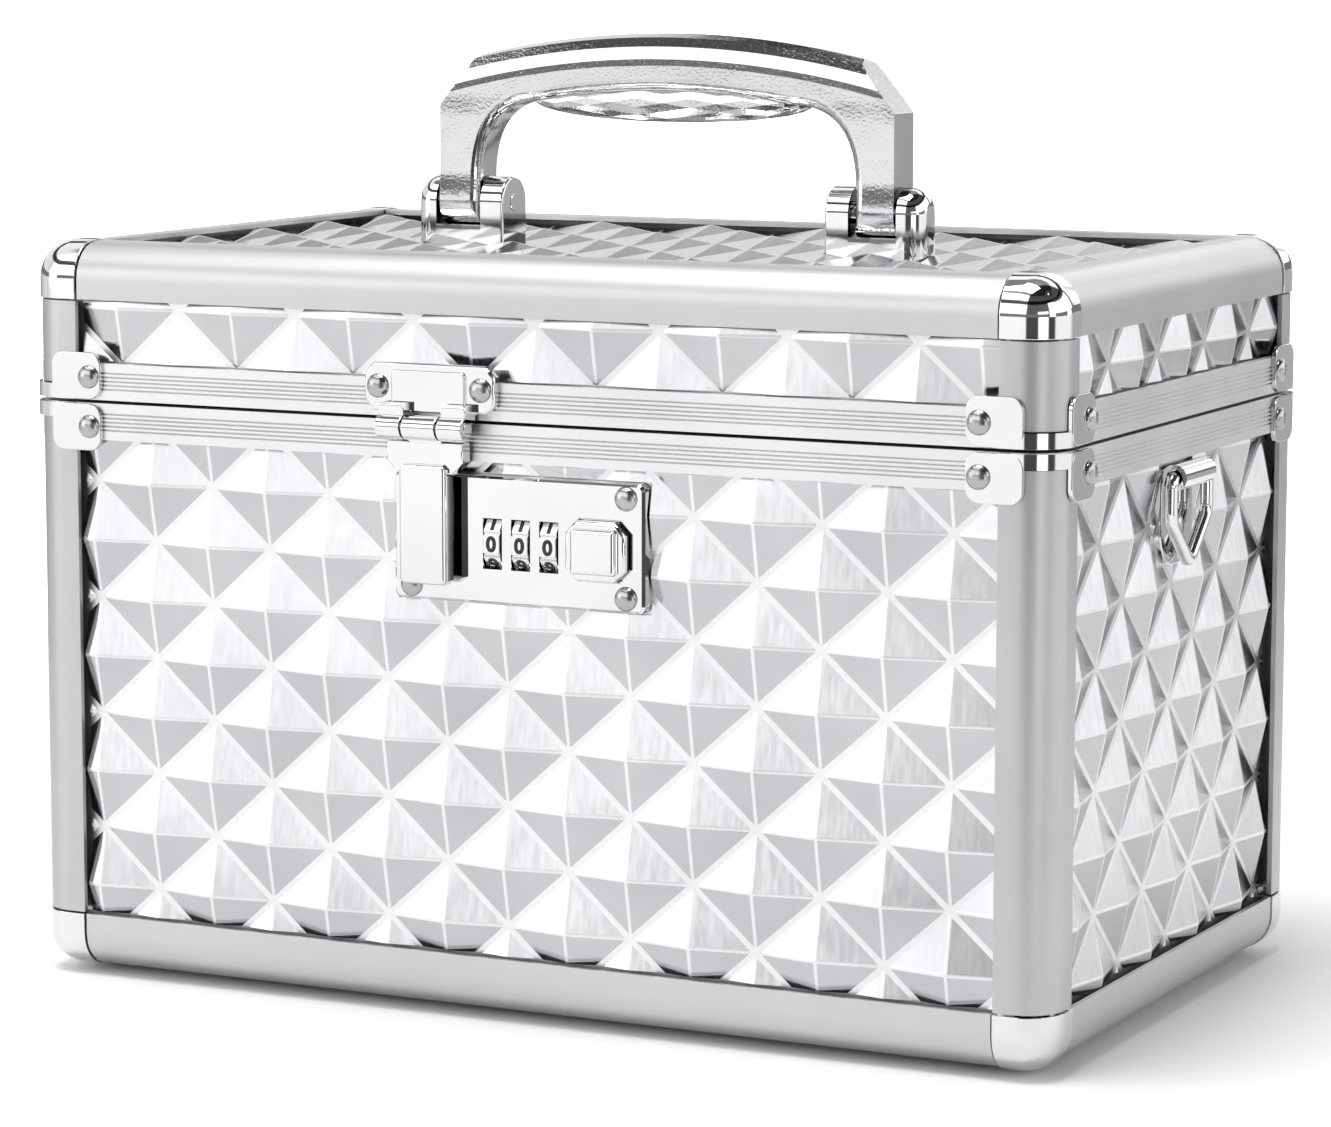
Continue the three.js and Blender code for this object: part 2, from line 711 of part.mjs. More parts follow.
function addBoards() {
  const spans = (length) => (
    { sheet: about(0, length - 2 * boardEdge), field: about(0, length - 2 * fieldEdge) }
  );
  const acrossFront = spans(boxWidth);
  const acrossSide = spans(boxDepth);
  const lattice = (pitchAcross, peakAcross, peakUp) => (
    { pitchAcross, pitchUp: embossUp, peakAcross, peakUp }
  );
  const lockPad = pad(about(lockAcross, lockWidth), [lockLow, lockHigh]);
  const ringPad = pad(about(0, ringPlateWidth), [ringPlateLow, ringPlateHigh + ringBarrelRadius]);
  const sides = {
    front: [acrossFront, lattice(embossAcross, frontPeakAcross, frontPeakUp), [lockPad]],
    back: [acrossFront, lattice(embossAcross, frontPeakAcross, frontPeakUp), []],
    left: [acrossSide, lattice(embossDepthPitch, sidePeakAcross, sidePeakUp), [ringPad]],
    right: [acrossSide, lattice(embossDepthPitch, sidePeakAcross, sidePeakUp), [ringPad]],
  };
  for (const [side, [across, pattern, pads]] of Object.entries(sides)) {
    const sheet = { across: across.sheet, up: bodySheetUp };
    const field = { across: across.field, up: bodyFieldUp };
    let board = embossedBoard(sheet, field, pattern, pads);
    if (side === 'front') {
      const caseRoom = caseAcross.map((edge, end) => edge + (2 * end - 1) * fitGap);
      const levelRoom = caseUp.map((edge, end) => edge + (2 * end - 1) * fitGap);
      board = cut(board, block(caseRoom, levelRoom, [-boardThickness - overrun, overrun]));
    }
    addPiece(faceFrames[side], `panel_${side}`, board, materials.board).position.z = boardFace;
    const isSide = side === 'left' || side === 'right';
    const lidPeak = isSide ? [lidSidePeakAcross, lidSidePeakRise] : [lidFrontPeakAcross, lidFrontPeakRise];
    const lidLattice = lattice(pattern.pitchAcross, lidPeak[0], seamLevel + lidPeak[1]);
    const lidSheet = { across: across.sheet, up: lidSheetUp };
    const lidField = { across: across.field, up: lidFieldUp };
    const lidBoard = embossedBoard(lidSheet, lidField, lidLattice);
    addPiece(faceFrames[side], `panel_lid_${side}`, lidBoard, materials.board).position.z = boardFace;
  }
  const topSheet = { across: acrossFront.sheet, up: acrossSide.sheet };
  const topField = { across: acrossFront.field, up: acrossSide.field };
  const topLattice = {
    pitchAcross: embossAcross, pitchUp: embossDepthPitch, peakAcross: frontPeakAcross, peakUp: 0,
  };
  const clevisPads = [-1, 1].map((side) => (
    pad(about(side * handleLegCentre, clevisWidth), about(0, clevisDepth))
  ));
  const top = embossedBoard(topSheet, topField, topLattice, clevisPads);
  addPiece(box, 'panel_lid_top', top, materials.board).position.z = boxHeight - boardInset;
  addPiece(box, 'panel_bottom', bottomBoard(topSheet), materials.base).position.z = boardInset;
}

// Bottom board with its ribbed feet, which reach just below the rails
function bottomBoard(sheet) {
  const pitch = footLength / footRibs;
  const low = -boardInset - footHeight;
  const root = boardThickness / 2;
  const comb = [[0, root], [0, low]];
  for (let rib = 1; rib < footRibs; rib += 1) {
    const start = (rib - 1) * pitch + pitch * footRibShare;
    const end = rib * pitch;
    const floor = low + footGrooveDepth;
    comb.push([start, low], [start, floor], [end, floor], [end, low]);
  }
  comb.push([footLength, low], [footLength, root]);
  const foot = geometryOf(extrude(polygon(comb), [0, footDepth])).rotateX(quarter);
  let board = block(sheet.across, sheet.up, [0, boardThickness]);
  foot.translate(0, footDepth / 2, 0);
  for (const x of [-1, 1]) {
    for (const y of [-1, 1]) {
      const centreX = x * (halfWidth - edgeWidth - footFromSideRail - footLength / 2);
      const centreY = y * (halfDepth - edgeWidth - footFromFrontRail - footDepth / 2);
      board = board.add(solidOf(foot.clone().translate(centreX - footLength / 2, centreY, 0)));
    }
  }
  return board;
}

// A section in the plane of Z and Y, drawn along X
function alongX(shape, [left, right]) {
  return solidOf(geometryOf(extrude(shape, [-right, -left])).rotateY(-quarter));
}

// Hasp: the plate carries the two outer knuckles and the pin, the tongue the middle knuckle. The
// tongue's catch drops into a slot of the lock that is open at the top

const haspBarrel = about(haspAcross, haspBarrelLength);
const haspPlateFront = seatGap + haspPlateWall;

function haspPlate() {
  const outline = chamferedRectangle(
    about(haspAcross, haspPlateWidth), [haspPlateLow, haspPlateHigh], haspPlateChamfer,
  );
  const back = seatGap + haspEdgeBevel;
  const raised = roundedRectangle(
    about(haspAcross, haspPadWidth), [haspPlateLow, haspPlateHigh - 2 * haspEdgeBevel], haspEdgeBevel,
  );
  const lipTop = haspPlateLow + haspPlateChamfer;
  const lip = polygon([
    [back, haspLipLow], [haspLipOut, haspLipLow], [haspLipOut, haspPlateLow],
    [haspPlateFront, lipTop], [back, lipTop],
  ]);
  const knuckleRoom = block(
    about(haspAcross, haspKnuckleWidth + 2 * haspKnuckleGap),
    [haspAxisLevel - haspBarrelRadius - overrun, haspAxisLevel + haspBarrelRadius + 2 * fitGap],
    [-overrun, haspAxisOut + haspBarrelRadius + overrun],
  );
  const shell = join(
    extrude(outline, [seatGap, haspPlateFront], haspEdgeBevel),
    extrude(raised, [back, haspPlateFront + haspPadProud], haspEdgeBevel / 2),
    alongX(lip, haspBarrel),
    rod(haspBarrel, haspAxisLevel, haspAxisOut, haspBarrelRadius),
  );
  const haspRivetAcross = haspPlateWidth / 2 - haspRivetInset;
  const heads = [-1, 1].map((side) => (
    rivet(haspAcross + side * haspRivetAcross, haspPlateLow + haspRivetRise, haspPlateFront)
  ));
  const pin = rod(haspBarrel, haspAxisLevel, haspAxisOut, haspPinRadius);
  return join(cut(shell, knuckleRoom), pin, ...heads);
}

function haspTongue() {
  const knuckle = about(haspAcross, haspKnuckleWidth);
  const wide = about(haspAcross, tongueWideWidth);
  const cover = about(haspAcross, coverWidth);
  const neck = block(knuckle, [tongueWideLow, haspAxisLevel], [tongueBackOut, tongueWideOut]);
  const shoulders = polygon([
    [cover[0], tongueShoulderLow], [cover[1], tongueShoulderLow], [wide[1], tongueWideLow],
    [wide[1], tongueWideHigh], [wide[0], tongueWideHigh], [wide[0], tongueWideLow],
  ]);
  const coverShape = chamferedRectangle(cover, [coverLow, tongueWideLow], coverBevel);
  const tongue = join(
    neck,
    rod(knuckle, haspAxisLevel, haspAxisOut, haspBarrelRadius),
    extrude(shoulders, [tongueBackOut, tongueWideOut], haspEdgeBevel / 2),
    extrude(coverShape, [coverBackOut, coverFrontOut], coverBevel),
    block(about(haspAcross, catchWidth), [catchLow, catchHigh], [catchBackOut, coverBackOut + coverBevel]),
  );
  return cut(tongue, rod(haspBarrel, haspAxisLevel, haspAxisOut, haspPinRadius + fitGap));
}

// Lock: the plate is a pressed tray over the board, and its case holds the axle of the wheels

const lockSpan = about(lockAcross, lockWidth);
const buttonHole = (gap) => chamferedRectangle(
  about(buttonAcross, buttonWidth + 2 * gap), about(wheelLevel, buttonHeight + 2 * gap), buttonChamfer,
);

function lockPlate() {
  const outline = roundedRectangle(lockSpan, [lockLow, lockHigh], lockRound);
  const trayHollow = block(
    [lockSpan[0] + lockFrameWall, lockSpan[1] - lockFrameWall],
    [lockLow + lockFrameWall, lockHigh - lockFrameWall],
    [plateBack - overrun, lockBackOfSheet],
  );
  const tray = cut(extrude(outline, [plateBack, lockProud], lockBevel), trayHollow);
  const caseBack = axleOut - wheelRadius - caseBackGap - caseWall;
  const wheelEnd = wheelsAcross[1];
  const chamberUp = [caseUp[0] + caseWall, caseUp[1] - caseWall];
  const chamberOut = [caseBack + caseWall, lockBackOfSheet];
  const casing = block(caseAcross, caseUp, [caseBack, lockBackOfSheet + lockSheet / 2]);
  const wheelChamber = block([caseAcross[0] + caseWall, wheelEnd], chamberUp, chamberOut);
  const buttonChamber = block([wheelEnd + caseDivider, caseAcross[1] - caseWall], chamberUp, chamberOut);
  const windows = wheelPlaces().map((across) => block(
    about(across, windowWidth),
    about(wheelLevel, windowHeight),
    [lockBackOfSheet - fitGap, lockProud + overrun],
  ));
  const buttonRoom = extrude(buttonHole(fitGap), [lockBackOfSheet - fitGap, lockProud + overrun]);
  const heads = [-1, 1].flatMap((x) => [-1, 1].map((y) => rivet(
    lockAcross + x * (lockWidth / 2 - lockRivetInsetAcross),
    lockMiddle + y * ((lockHigh - lockLow) / 2 - lockRivetInsetUp),
    lockProud,
  )));
  const axle = rod(
    [caseAcross[0] + caseWall / 2, wheelEnd + caseDivider / 2], wheelLevel, axleOut, axleRadius,
  );
  const catchSlot = block(
    about(haspAcross, catchWidth + 2 * fitGap),
    [catchLow - fitGap - catchDip, lockHigh + overrun],
    [catchBackOut - 2 * fitGap, lockProud + overrun],
  );
  const shell = cut(join(tray, casing), wheelChamber, buttonChamber, ...windows, buttonRoom, catchSlot);
  return join(shell, axle, ...heads);
}

function wheelPlaces() {
  const places = [];
  for (let index = 0; index < wheelCount; index += 1) {
    places.push(wheelMiddleAcross + (index - (wheelCount - 1) / 2) * wheelPitch);
  }
  return places;
}

// A number wheel: flat faces with a notch between neighbours
function numberWheel(across) {
  const faceAngle = (4 * quarter) / wheelFaces;
  const points = [];
  for (let face = 0; face < wheelFaces; face += 1) {
    const edge = (face + 1 / 2) * faceAngle;
    const notch = faceAngle * wheelNotchShare;
    for (const [angle, radius] of [
      [edge - notch, wheelRadius], [edge, wheelRadius - wheelNotchDepth], [edge + notch, wheelRadius],
    ]) points.push([radius * Math.cos(angle), radius * Math.sin(angle)]);
  }
  const width = about(across, windowWidth - 2 * fitGap);
  const wheel = geometryOf(alongX(polygon(points), width)).translate(0, wheelLevel, axleOut);
  return cut(solidOf(wheel), rod(caseAcross, wheelLevel, axleOut, axleRadius + fitGap));
}

// The release button, kept in its hole by a skirt behind the sheet
function releaseButton() {
  const skirtFront = lockBackOfSheet - fitGap;
  const skirt = [skirtFront - buttonSkirtWall, skirtFront];
  return join(
    extrude(buttonHole(0), [skirt[0], lockProud + buttonProud], buttonBevel),
    extrude(buttonHole(buttonSkirt), skirt),
    extrude(roundedRectangle(
      about(buttonAcross, buttonStem), about(wheelLevel, buttonStem), buttonBevel,
    ), [skirt[0] - buttonStem, skirt[1]]),
  );
}

function addHaspAndLock() {
  addPiece(faceFrames.front, 'hasp_plate', haspPlate(), materials.chrome);
  addPiece(faceFrames.front, 'hasp_tongue', haspTongue(), materials.chrome);
  addPiece(faceFrames.front, 'lock_plate', lockPlate(), materials.chrome);
  wheelPlaces().forEach((across, index) => {
    addPiece(faceFrames.front, `dial_wheel_${index + 1}`, numberWheel(across), materials.nickel);
  });
  addPiece(faceFrames.front, 'lock_button', releaseButton(), materials.chrome);
}

// Handle: a flat arch with a swollen, faceted grip below it, on pins in two clevis brackets

function handleOutline() {
  const half = handleSpan / 2;
  const low = handlePinLevel - handleDepth / 2;
  const rise = handleTop - handleShoulderTop;
  const round = (handleShoulderHalf ** 2 + rise ** 2) / (2 * rise);
  const sweep = Math.asin(handleShoulderHalf / round);
  const shape = new THREE.Shape();
  shape.moveTo(half, low);
  shape.lineTo(half, handleShoulderLow);
  shape.absarc(0, handleTop - round, round, quarter - sweep, quarter + sweep);
  shape.lineTo(-half, handleShoulderLow);
  shape.lineTo(-half, low);
  shape.lineTo(-handleLegInner, low);
  shape.lineTo(-handleLegInner, handleArchLow);
  shape.quadraticCurveTo(-handleLegInner, handleArchHigh, -handleArchHalf, handleArchHigh);
  shape.quadraticCurveTo(-handleArchHalf / 2, handleArchTop, 0, handleArchTop);
  shape.quadraticCurveTo(handleArchHalf / 2, handleArchTop, handleArchHalf, handleArchHigh);
  shape.quadraticCurveTo(handleLegInner, handleArchHigh, handleLegInner, handleArchLow);
  shape.lineTo(handleLegInner, low);
  return shape;
}

// The grip's swelling: an ellipsoid with facets in a staggered net
function handleBelly() {
  const rings = [];
  const centre = (bellyLow + bellyHigh) / 2;
  for (let step = 1; step < bellySteps; step += 1) {
    const along = (2 * step) / bellySteps - 1;
    const swell = Math.sqrt(1 - along ** 2);
    const stagger = step % 2 ? 0 : 1 / 2;
    const ring = [];
    for (let side = 0; side < bellySides; side += 1) {
      const angle = ((side + stagger) * 4 * quarter) / bellySides;
      ring.push(new THREE.Vector3(
        along * bellyHalf,
        bellyHalfDepth * swell * Math.cos(angle),
        centre + ((bellyHigh - bellyLow) / 2) * swell * Math.sin(angle),
      ));
    }
    rings.push(ring);
  }
  const tips = [-1, 1].map((side) => new THREE.Vector3(side * bellyHalf, 0, centre));
  const points = [...rings.flat(), ...tips];
  const [start, end] = [points.length - 2, points.length - 1];
  const triangles = [];
  const last = (rings.length - 1) * bellySides;
  for (let side = 0; side < bellySides; side += 1) {
    const next = (side + 1) % bellySides;
    triangles.push(start, next, side);
    triangles.push(end, last + side, last + next);
    for (let row = 0; row < rings.length - 1; row += 1) {
      const here = row * bellySides;
      const there = here + bellySides;
      if (row % 2 === 0) {
        triangles.push(here + side, here + next, there + side, here + next, there + next, there + side);
      } else {
        triangles.push(here + side, here + next, there + next, here + side, there + next, there + side);
      }
    }
  }
  const geometry = new THREE.BufferGeometry().setFromPoints(points);
  geometry.setIndex(triangles);
  return solidOf(geometry);
}

function carryHandle() {
  const arch = geometryOf(extrude(handleOutline(), about(0, handleDepth), handleBevel, bevelSteps));
  arch.rotateX(quarter);
  const foot = new THREE.Shape();
  foot.absarc(handlePinLevel, 0, handleDepth / 2, quarter, 3 * quarter);
  foot.lineTo(handleTop + overrun, -handleDepth / 2);
  foot.lineTo(handleTop + overrun, handleDepth / 2);
  const envelope = geometryOf(alongX(foot, about(0, handleSpan + 2 * overrun)));
  const body = solidOf(arch).intersect(solidOf(envelope)).add(handleBelly());
  return cut(body, rod(about(0, handleSpan + 2 * overrun), 0, handlePinLevel, handlePinRadius + fitGap));
}

// A clevis bracket: domed outside, flat inside, with a slot for the leg and a pin across it
function clevis(side) {
  const centre = side * handleLegCentre;
  const half = clevisDepth / 2;
  const base = boxHeight + plateBack;
  const slotFloor = handlePinLevel - handleDepth / 2 - slotFloorGap;
  const crown = handlePinLevel + clevisDepth;
  const tombstone = new THREE.Shape();
  tombstone.absarc(handlePinLevel, 0, half, -quarter, quarter);
  tombstone.lineTo(base - clevisDome, half);
  tombstone.lineTo(base - clevisDome, -half);
  const length = clevisWidth + clevisDome;
  const body = geometryOf(extrude(tombstone, [0, length], clevisDome, clevisDomeSteps)).rotateY(-quarter);
  body.translate(centre + (side * clevisWidth) / 2 + (side < 0 ? length : 0), 0, 0);
  const keep = block(about(centre, clevisWidth), about(0, clevisDepth + overrun), [base, crown]);
  const slot = block(about(centre, clevisSlot), about(0, clevisDepth + 2 * overrun), [slotFloor, crown]);
  const pin = rod(about(centre, clevisSlot + clevisDome), 0, handlePinLevel, handlePinRadius);
  return join(cut(solidOf(body).intersect(keep), slot), pin);
}

function addHandle() {
  addPiece(box, 'handle', carryHandle(), materials.chrome);
  addPiece(box, 'handle_bracket_left', clevis(-1), materials.chrome);
  addPiece(box, 'handle_bracket_right', clevis(1), materials.chrome);
}

// Strap ring: a plate with a tube along its top, and a bent wire ring through the tube

function ringPlate() {
  const width = about(0, ringPlateWidth);
  const outline = new THREE.Shape();
  outline.moveTo(width[1], ringPlateHigh);
  outline.lineTo(width[0], ringPlateHigh);
  const bend = ringPlateLow + ringPlateRound;
  outline.absarc(width[0] + ringPlateRound, bend, ringPlateRound, 2 * quarter, 3 * quarter);
  outline.absarc(width[1] - ringPlateRound, bend, ringPlateRound, 3 * quarter, 4 * quarter);
  const barrel = about(0, ringBarrelLength);
  const body = join(
    extrude(outline, [plateBack, ringPlateFront]),
    rod(barrel, ringBarrelLevel, ringBarrelOut, ringBarrelRadius),
    rivet(0, ringRivetLevel, ringPlateFront),
  );
  const boreSpan = about(0, ringBarrelLength + 2 * overrun);
  const bore = rod(boreSpan, ringBarrelLevel, ringBarrelOut, ringWireRadius + fitGap);
  return cut(body, bore);
}

function strapRing() {
  const half = ringBarrelLength / 2 + fitGap + ringWireRadius;
  const bends = [
    [half, ringBarrelLevel], [-half, ringBarrelLevel], [-half, ringShoulderLevel],
    [0, ringTipLevel], [half, ringShoulderLevel],
  ].map(([x, y]) => new THREE.Vector2(x, y));
  const route = [];
  bends.forEach((bend, index) => {
    const before = bends[(index + bends.length - 1) % bends.length];
    const after = bends[(index + 1) % bends.length];
    const start = bend.clone().lerp(before, ringCornerRound / bend.distanceTo(before));
    const end = bend.clone().lerp(after, ringCornerRound / bend.distanceTo(after));
    route.push(...new THREE.QuadraticBezierCurve(start, bend, end).getPoints(cornerSteps));
  });
  const loops = [];
  for (let side = 0; side < wireSides; side += 1) {
    const angle = (4 * quarter * side) / wireSides;
    loops.push(offsetLoop(route, ringWireRadius * Math.cos(angle), ringWireRadius * Math.sin(angle)));
  }
  return solidOf(geometryOf(loft(loops)).translate(0, 0, ringBarrelOut));
}

// A closed flat route moved outwards by one amount and lifted along Z by another
function offsetLoop(route, outwards, lift) {
  return route.map((point, index) => {
    const before = route[(index + route.length - 1) % route.length];
    const after = route[(index + 1) % route.length];
    const heading = after.clone().sub(before).normalize();
    return new THREE.Vector3(point.x + heading.y * outwards, point.y - heading.x * outwards, lift);
  });
}

function addStrapRings() {
  for (const side of ['left', 'right']) {
    addPiece(faceFrames[side], `d_ring_plate_${side}`, ringPlate(), materials.chrome);
    addPiece(faceFrames[side], `d_ring_${side}`, strapRing(), materials.chrome);
  }
}

// Piano hinge on the back face: each leaf has every other knuckle, and the body's has the pin

function hingeLeaf(isLid) {
  const pitch = hingeLength / hingeKnuckles;
  const own = [];
  const other = [];
  for (let knuckle = 0; knuckle < hingeKnuckles; knuckle += 1) {
    const start = knuckle * pitch - hingeLength / 2;
    const span = [start, start + pitch];
    const isOwn = (knuckle % 2 === 1) === isLid;
    if (isOwn) {
      const barrel = [span[0] + fitGap / 2, span[1] - fitGap / 2];
      own.push(rod(barrel, seamLevel, hingeAxisOut, hingeBarrelRadius));
    } else {
      const room = [span[0] - fitGap / 2, span[1] + fitGap / 2];
      const side = isLid ? [-overrun, hingeBarrelRadius + fitGap] : [-hingeBarrelRadius - fitGap, overrun];
      other.push(block(room, side.map((rise) => seamLevel + rise), [0, hingeAxisOut + hingeBarrelRadius]));
    }
  }
  const low = isLid ? lidLow : bodyTop - hingeLeafReach;
  const high = isLid ? lidLow + hingeLeafReach : bodyTop;
  const leaf = block(about(0, hingeLength), [low, high], [seatGap, seatGap + hingeLeafWall]);
  const plate = join(cut(leaf, ...other), ...own);
  const pinSpan = about(0, hingeLength);
  if (!isLid) return join(plate, rod(pinSpan, seamLevel, hingeAxisOut, hingePinRadius));
  return cut(plate, rod(pinSpan, seamLevel, hingeAxisOut, hingePinRadius + fitGap));
}

function addHinge() {
  addPiece(faceFrames.back, 'hinge_leaf_base', hingeLeaf(false), materials.profile);
  addPiece(faceFrames.back, 'hinge_leaf_lid', hingeLeaf(true), materials.profile);
}

addRails();
addPosts();
addCaps();
addRims();
addRimBrackets();
addBoards();
addHaspAndLock();
addHandle();
addStrapRings();
addHinge();

export default box;
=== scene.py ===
# %% [markdown]
# # Dressing a lock box
# The CAD model of this box is exact and plain. This notebook loads it as a fixed frame and gives
# it the looks of the real one: drawn aluminium edges, boards of embossed silver sheet, and
# polished fittings with rivets. Three CAD pieces have the right shape already: they keep their mesh
# and only get a finish. All others are rounder or finer on the real box, so new meshes or softened
# copies take their places.

# %% Load the frame and keep the size of the CAD box
import json
import math

import bmesh
import bpy
from mathutils import Matrix, Vector

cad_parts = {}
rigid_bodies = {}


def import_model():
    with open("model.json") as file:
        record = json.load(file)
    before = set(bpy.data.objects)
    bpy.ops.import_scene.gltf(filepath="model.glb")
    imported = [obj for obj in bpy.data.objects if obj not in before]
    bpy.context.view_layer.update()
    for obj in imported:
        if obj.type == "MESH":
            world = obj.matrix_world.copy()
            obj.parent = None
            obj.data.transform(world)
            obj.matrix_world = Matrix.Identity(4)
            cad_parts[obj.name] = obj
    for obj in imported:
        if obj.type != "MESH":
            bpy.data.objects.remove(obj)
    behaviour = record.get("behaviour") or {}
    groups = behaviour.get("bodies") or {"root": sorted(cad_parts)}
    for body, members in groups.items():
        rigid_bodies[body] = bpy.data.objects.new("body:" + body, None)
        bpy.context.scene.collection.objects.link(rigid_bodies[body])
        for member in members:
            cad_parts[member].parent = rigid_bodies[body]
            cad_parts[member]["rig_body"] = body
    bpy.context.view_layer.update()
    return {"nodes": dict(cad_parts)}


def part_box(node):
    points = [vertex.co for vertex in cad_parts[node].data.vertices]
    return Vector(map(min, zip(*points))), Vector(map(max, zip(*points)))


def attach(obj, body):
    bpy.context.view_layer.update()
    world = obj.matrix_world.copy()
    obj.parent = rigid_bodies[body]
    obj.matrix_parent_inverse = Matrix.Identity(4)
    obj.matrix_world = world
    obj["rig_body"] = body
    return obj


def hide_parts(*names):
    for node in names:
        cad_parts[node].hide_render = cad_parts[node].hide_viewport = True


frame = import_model()
nodes = frame["nodes"]
mm = 0.001
quarter = math.pi / 2
stand_up, sideways = Matrix.Rotation(quarter, 4, "X"), Matrix.Rotation(quarter, 4, "Y")


def add_object(name, data):
    made = bpy.data.objects.new(name, data)
    bpy.context.scene.collection.objects.link(made)
    return made


# %% [markdown]
# ## Places
# Every piece is modelled flat, in millimetres, in the frame of the face that carries it: X runs
# across the face, Y up it and Z out of it. One matrix for each face then turns the mesh into the
# shared frame. That is easier to think about than six directions, and the object itself stays at
# the origin, which the export needs. The box of one CAD rail says where the frame starts.

# %% Frames of the faces and of the upright edges
rail_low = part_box("rail_bottom_front")[0]
box_width, box_depth, box_height = 240, 147, 160
foot_height = rail_low.z / mm
middle_y = rail_low.y / mm + box_depth / 2
top_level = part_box("rail_top_front")[1].z / mm - foot_height
scale_down = Matrix.Scale(mm, 4)
origin = scale_down @ Matrix.Translation((0, middle_y, foot_height))


def face_frame(turn, distance):
    return (
        origin
        @ Matrix.Rotation(turn, 4, "Z")
        @ Matrix.Translation((0, -distance, 0))
        @ stand_up
    )


faces = {
    "front": face_frame(0, box_depth / 2),
    "right": face_frame(quarter, box_width / 2),
    "back": face_frame(2 * quarter, box_depth / 2),
    "left": face_frame(-quarter, box_width / 2),
    "top": origin @ Matrix.Translation((0, 0, box_height)),
}


def corner_frame(x, y, turn):
    place = Matrix.Translation((x * box_width / 2, y * box_depth / 2, 0))
    return origin @ place @ Matrix.Rotation(turn, 4, "Z")


corners = {
    "front_left": corner_frame(-1, -1, 0),
    "front_right": corner_frame(1, -1, quarter),
    "back_right": corner_frame(1, 1, 2 * quarter),
    "back_left": corner_frame(-1, 1, -quarter),
}


def upended(corner, level):
    return (
        corner
        @ Matrix.Translation((0, 0, level))
        @ Matrix.Rotation(quarter, 4, "Z")
        @ Matrix.Rotation(2 * quarter, 4, "X")
    )


print("feet", round(foot_height, 3), "middle", round(middle_y, 3), "top", round(top_level, 3))

# %% [markdown]
# ## Camera
# The camera stands where the photographer's stood: to the right of the front, a little above it
# and far off, so that the upright edges stay nearly parallel. A long lens at a real distance gives
# that look. A wide lens close by would spread the front corners.

# %% Camera
azimuth, elevation, roll = math.radians(26.331), math.radians(7.781), math.radians(0.057)
target = Vector((-1.54, 1.15, 89.15)) * mm
distance = 1034.1 * mm
focal_pixels, image_width, sensor = 4655.9, 1331, 36

towards_camera = Vector((
    math.sin(azimuth) * math.cos(elevation),
    -math.cos(azimuth) * math.cos(elevation),
    math.sin(elevation),
))
camera_data = bpy.data.cameras.new("camera")
camera_data.sensor_width = sensor
camera_data.lens = focal_pixels / image_width * sensor
camera = add_object("camera", camera_data)
camera.matrix_world = (
    Matrix.Translation(target + towards_camera * distance)
    @ towards_camera.to_track_quat("Z", "Y").to_matrix().to_4x4()
    @ Matrix.Rotation(roll, 4, "Z")
)
bpy.context.scene.camera = camera
bpy.context.scene.view_settings.view_transform = "Standard"
print("lens", round(camera_data.lens, 2), "mm")

# %% [markdown]
# ## Floor and light
# Polished metal has hardly any colour of its own: it shows the room. The room here is a pale
# studio whose dark strips give the chrome its black bands. The world's own nodes draw it from the
# direction of each ray. One ramp sets the brightness by height. Five more set it by the way round,
# one for each layer: below the eye, a narrow horizon, at the eye, above the eye and overhead. The
# two are multiplied. The camera itself sees plain white. Three soft lamps add the highlights and
# the soft shadow. Lamps alone would leave the metal black between them.

# %% Floor
def new_material(name):
    material = bpy.data.materials.new(name)
    material.use_nodes = True
    return material, material.node_tree, material.node_tree.nodes["Principled BSDF"]


floor_radius = 0.55
floor_mesh = bpy.data.meshes.new("floor")
floor_bm = bmesh.new()
bmesh.ops.create_circle(floor_bm, cap_ends=True, radius=floor_radius, segments=96)
floor_bm.to_mesh(floor_mesh)
floor_bm.free()
floor = add_object("floor", floor_mesh)
floor_paint, _, floor_shader = new_material("floor_paint")
floor_shader.inputs["Base Color"].default_value = (0.94, 0.94, 0.942, 1)
floor_shader.inputs["Roughness"].default_value = 0.6
floor_mesh.materials.append(floor_paint)

# %% The studio round the box
world = bpy.data.worlds.new("studio")
world.use_nodes = True
bpy.context.scene.world = world
room = world.node_tree
room.nodes.clear()
join = room.links.new


def room_node(kind, **values):
    node = room.nodes.new(kind)
    for name, value in values.items():
        setattr(node, name, value)
    return node


def ramp_stops(node, stops):
    elements = node.color_ramp.elements
    while len(elements) < len(stops):
        elements.new(0.5)
    for element, (place, colour) in zip(elements, stops):
        element.position = place
        element.color = (*colour, 1) if isinstance(colour, tuple) else (colour, colour, colour, 1)


ray = room_node("ShaderNodeTexCoord")
parts = room_node("ShaderNodeSeparateXYZ")
join(ray.outputs["Generated"], parts.inputs[0])
height = room_node("ShaderNodeMapRange")
height.inputs["From Min"].default_value = -1
join(parts.outputs["Z"], height.inputs["Value"])
walls = room_node("ShaderNodeValToRGB")
by_height = [
    (0.0, 0.5), (0.3, 0.6), (0.4, 0.9), (0.499, 0.95), (0.51, 1.0), (0.7, 1.0), (0.757, 1.0),
    (0.767, 0.05), (0.825, 0.05), (0.835, 1.0), (0.915, 1.0), (0.925, 0.2), (1.0, 0.3),
]
ramp_stops(walls, by_height)
join(height.outputs[0], walls.inputs[0])
turn = room_node("ShaderNodeMath", operation="ARCTAN2")
join(parts.outputs["Y"], turn.inputs[0])
join(parts.outputs["X"], turn.inputs[1])
around = room_node("ShaderNodeMapRange")
around.inputs["From Min"].default_value = -math.pi
around.inputs["From Max"].default_value = math.pi
join(turn.outputs[0], around.inputs["Value"])

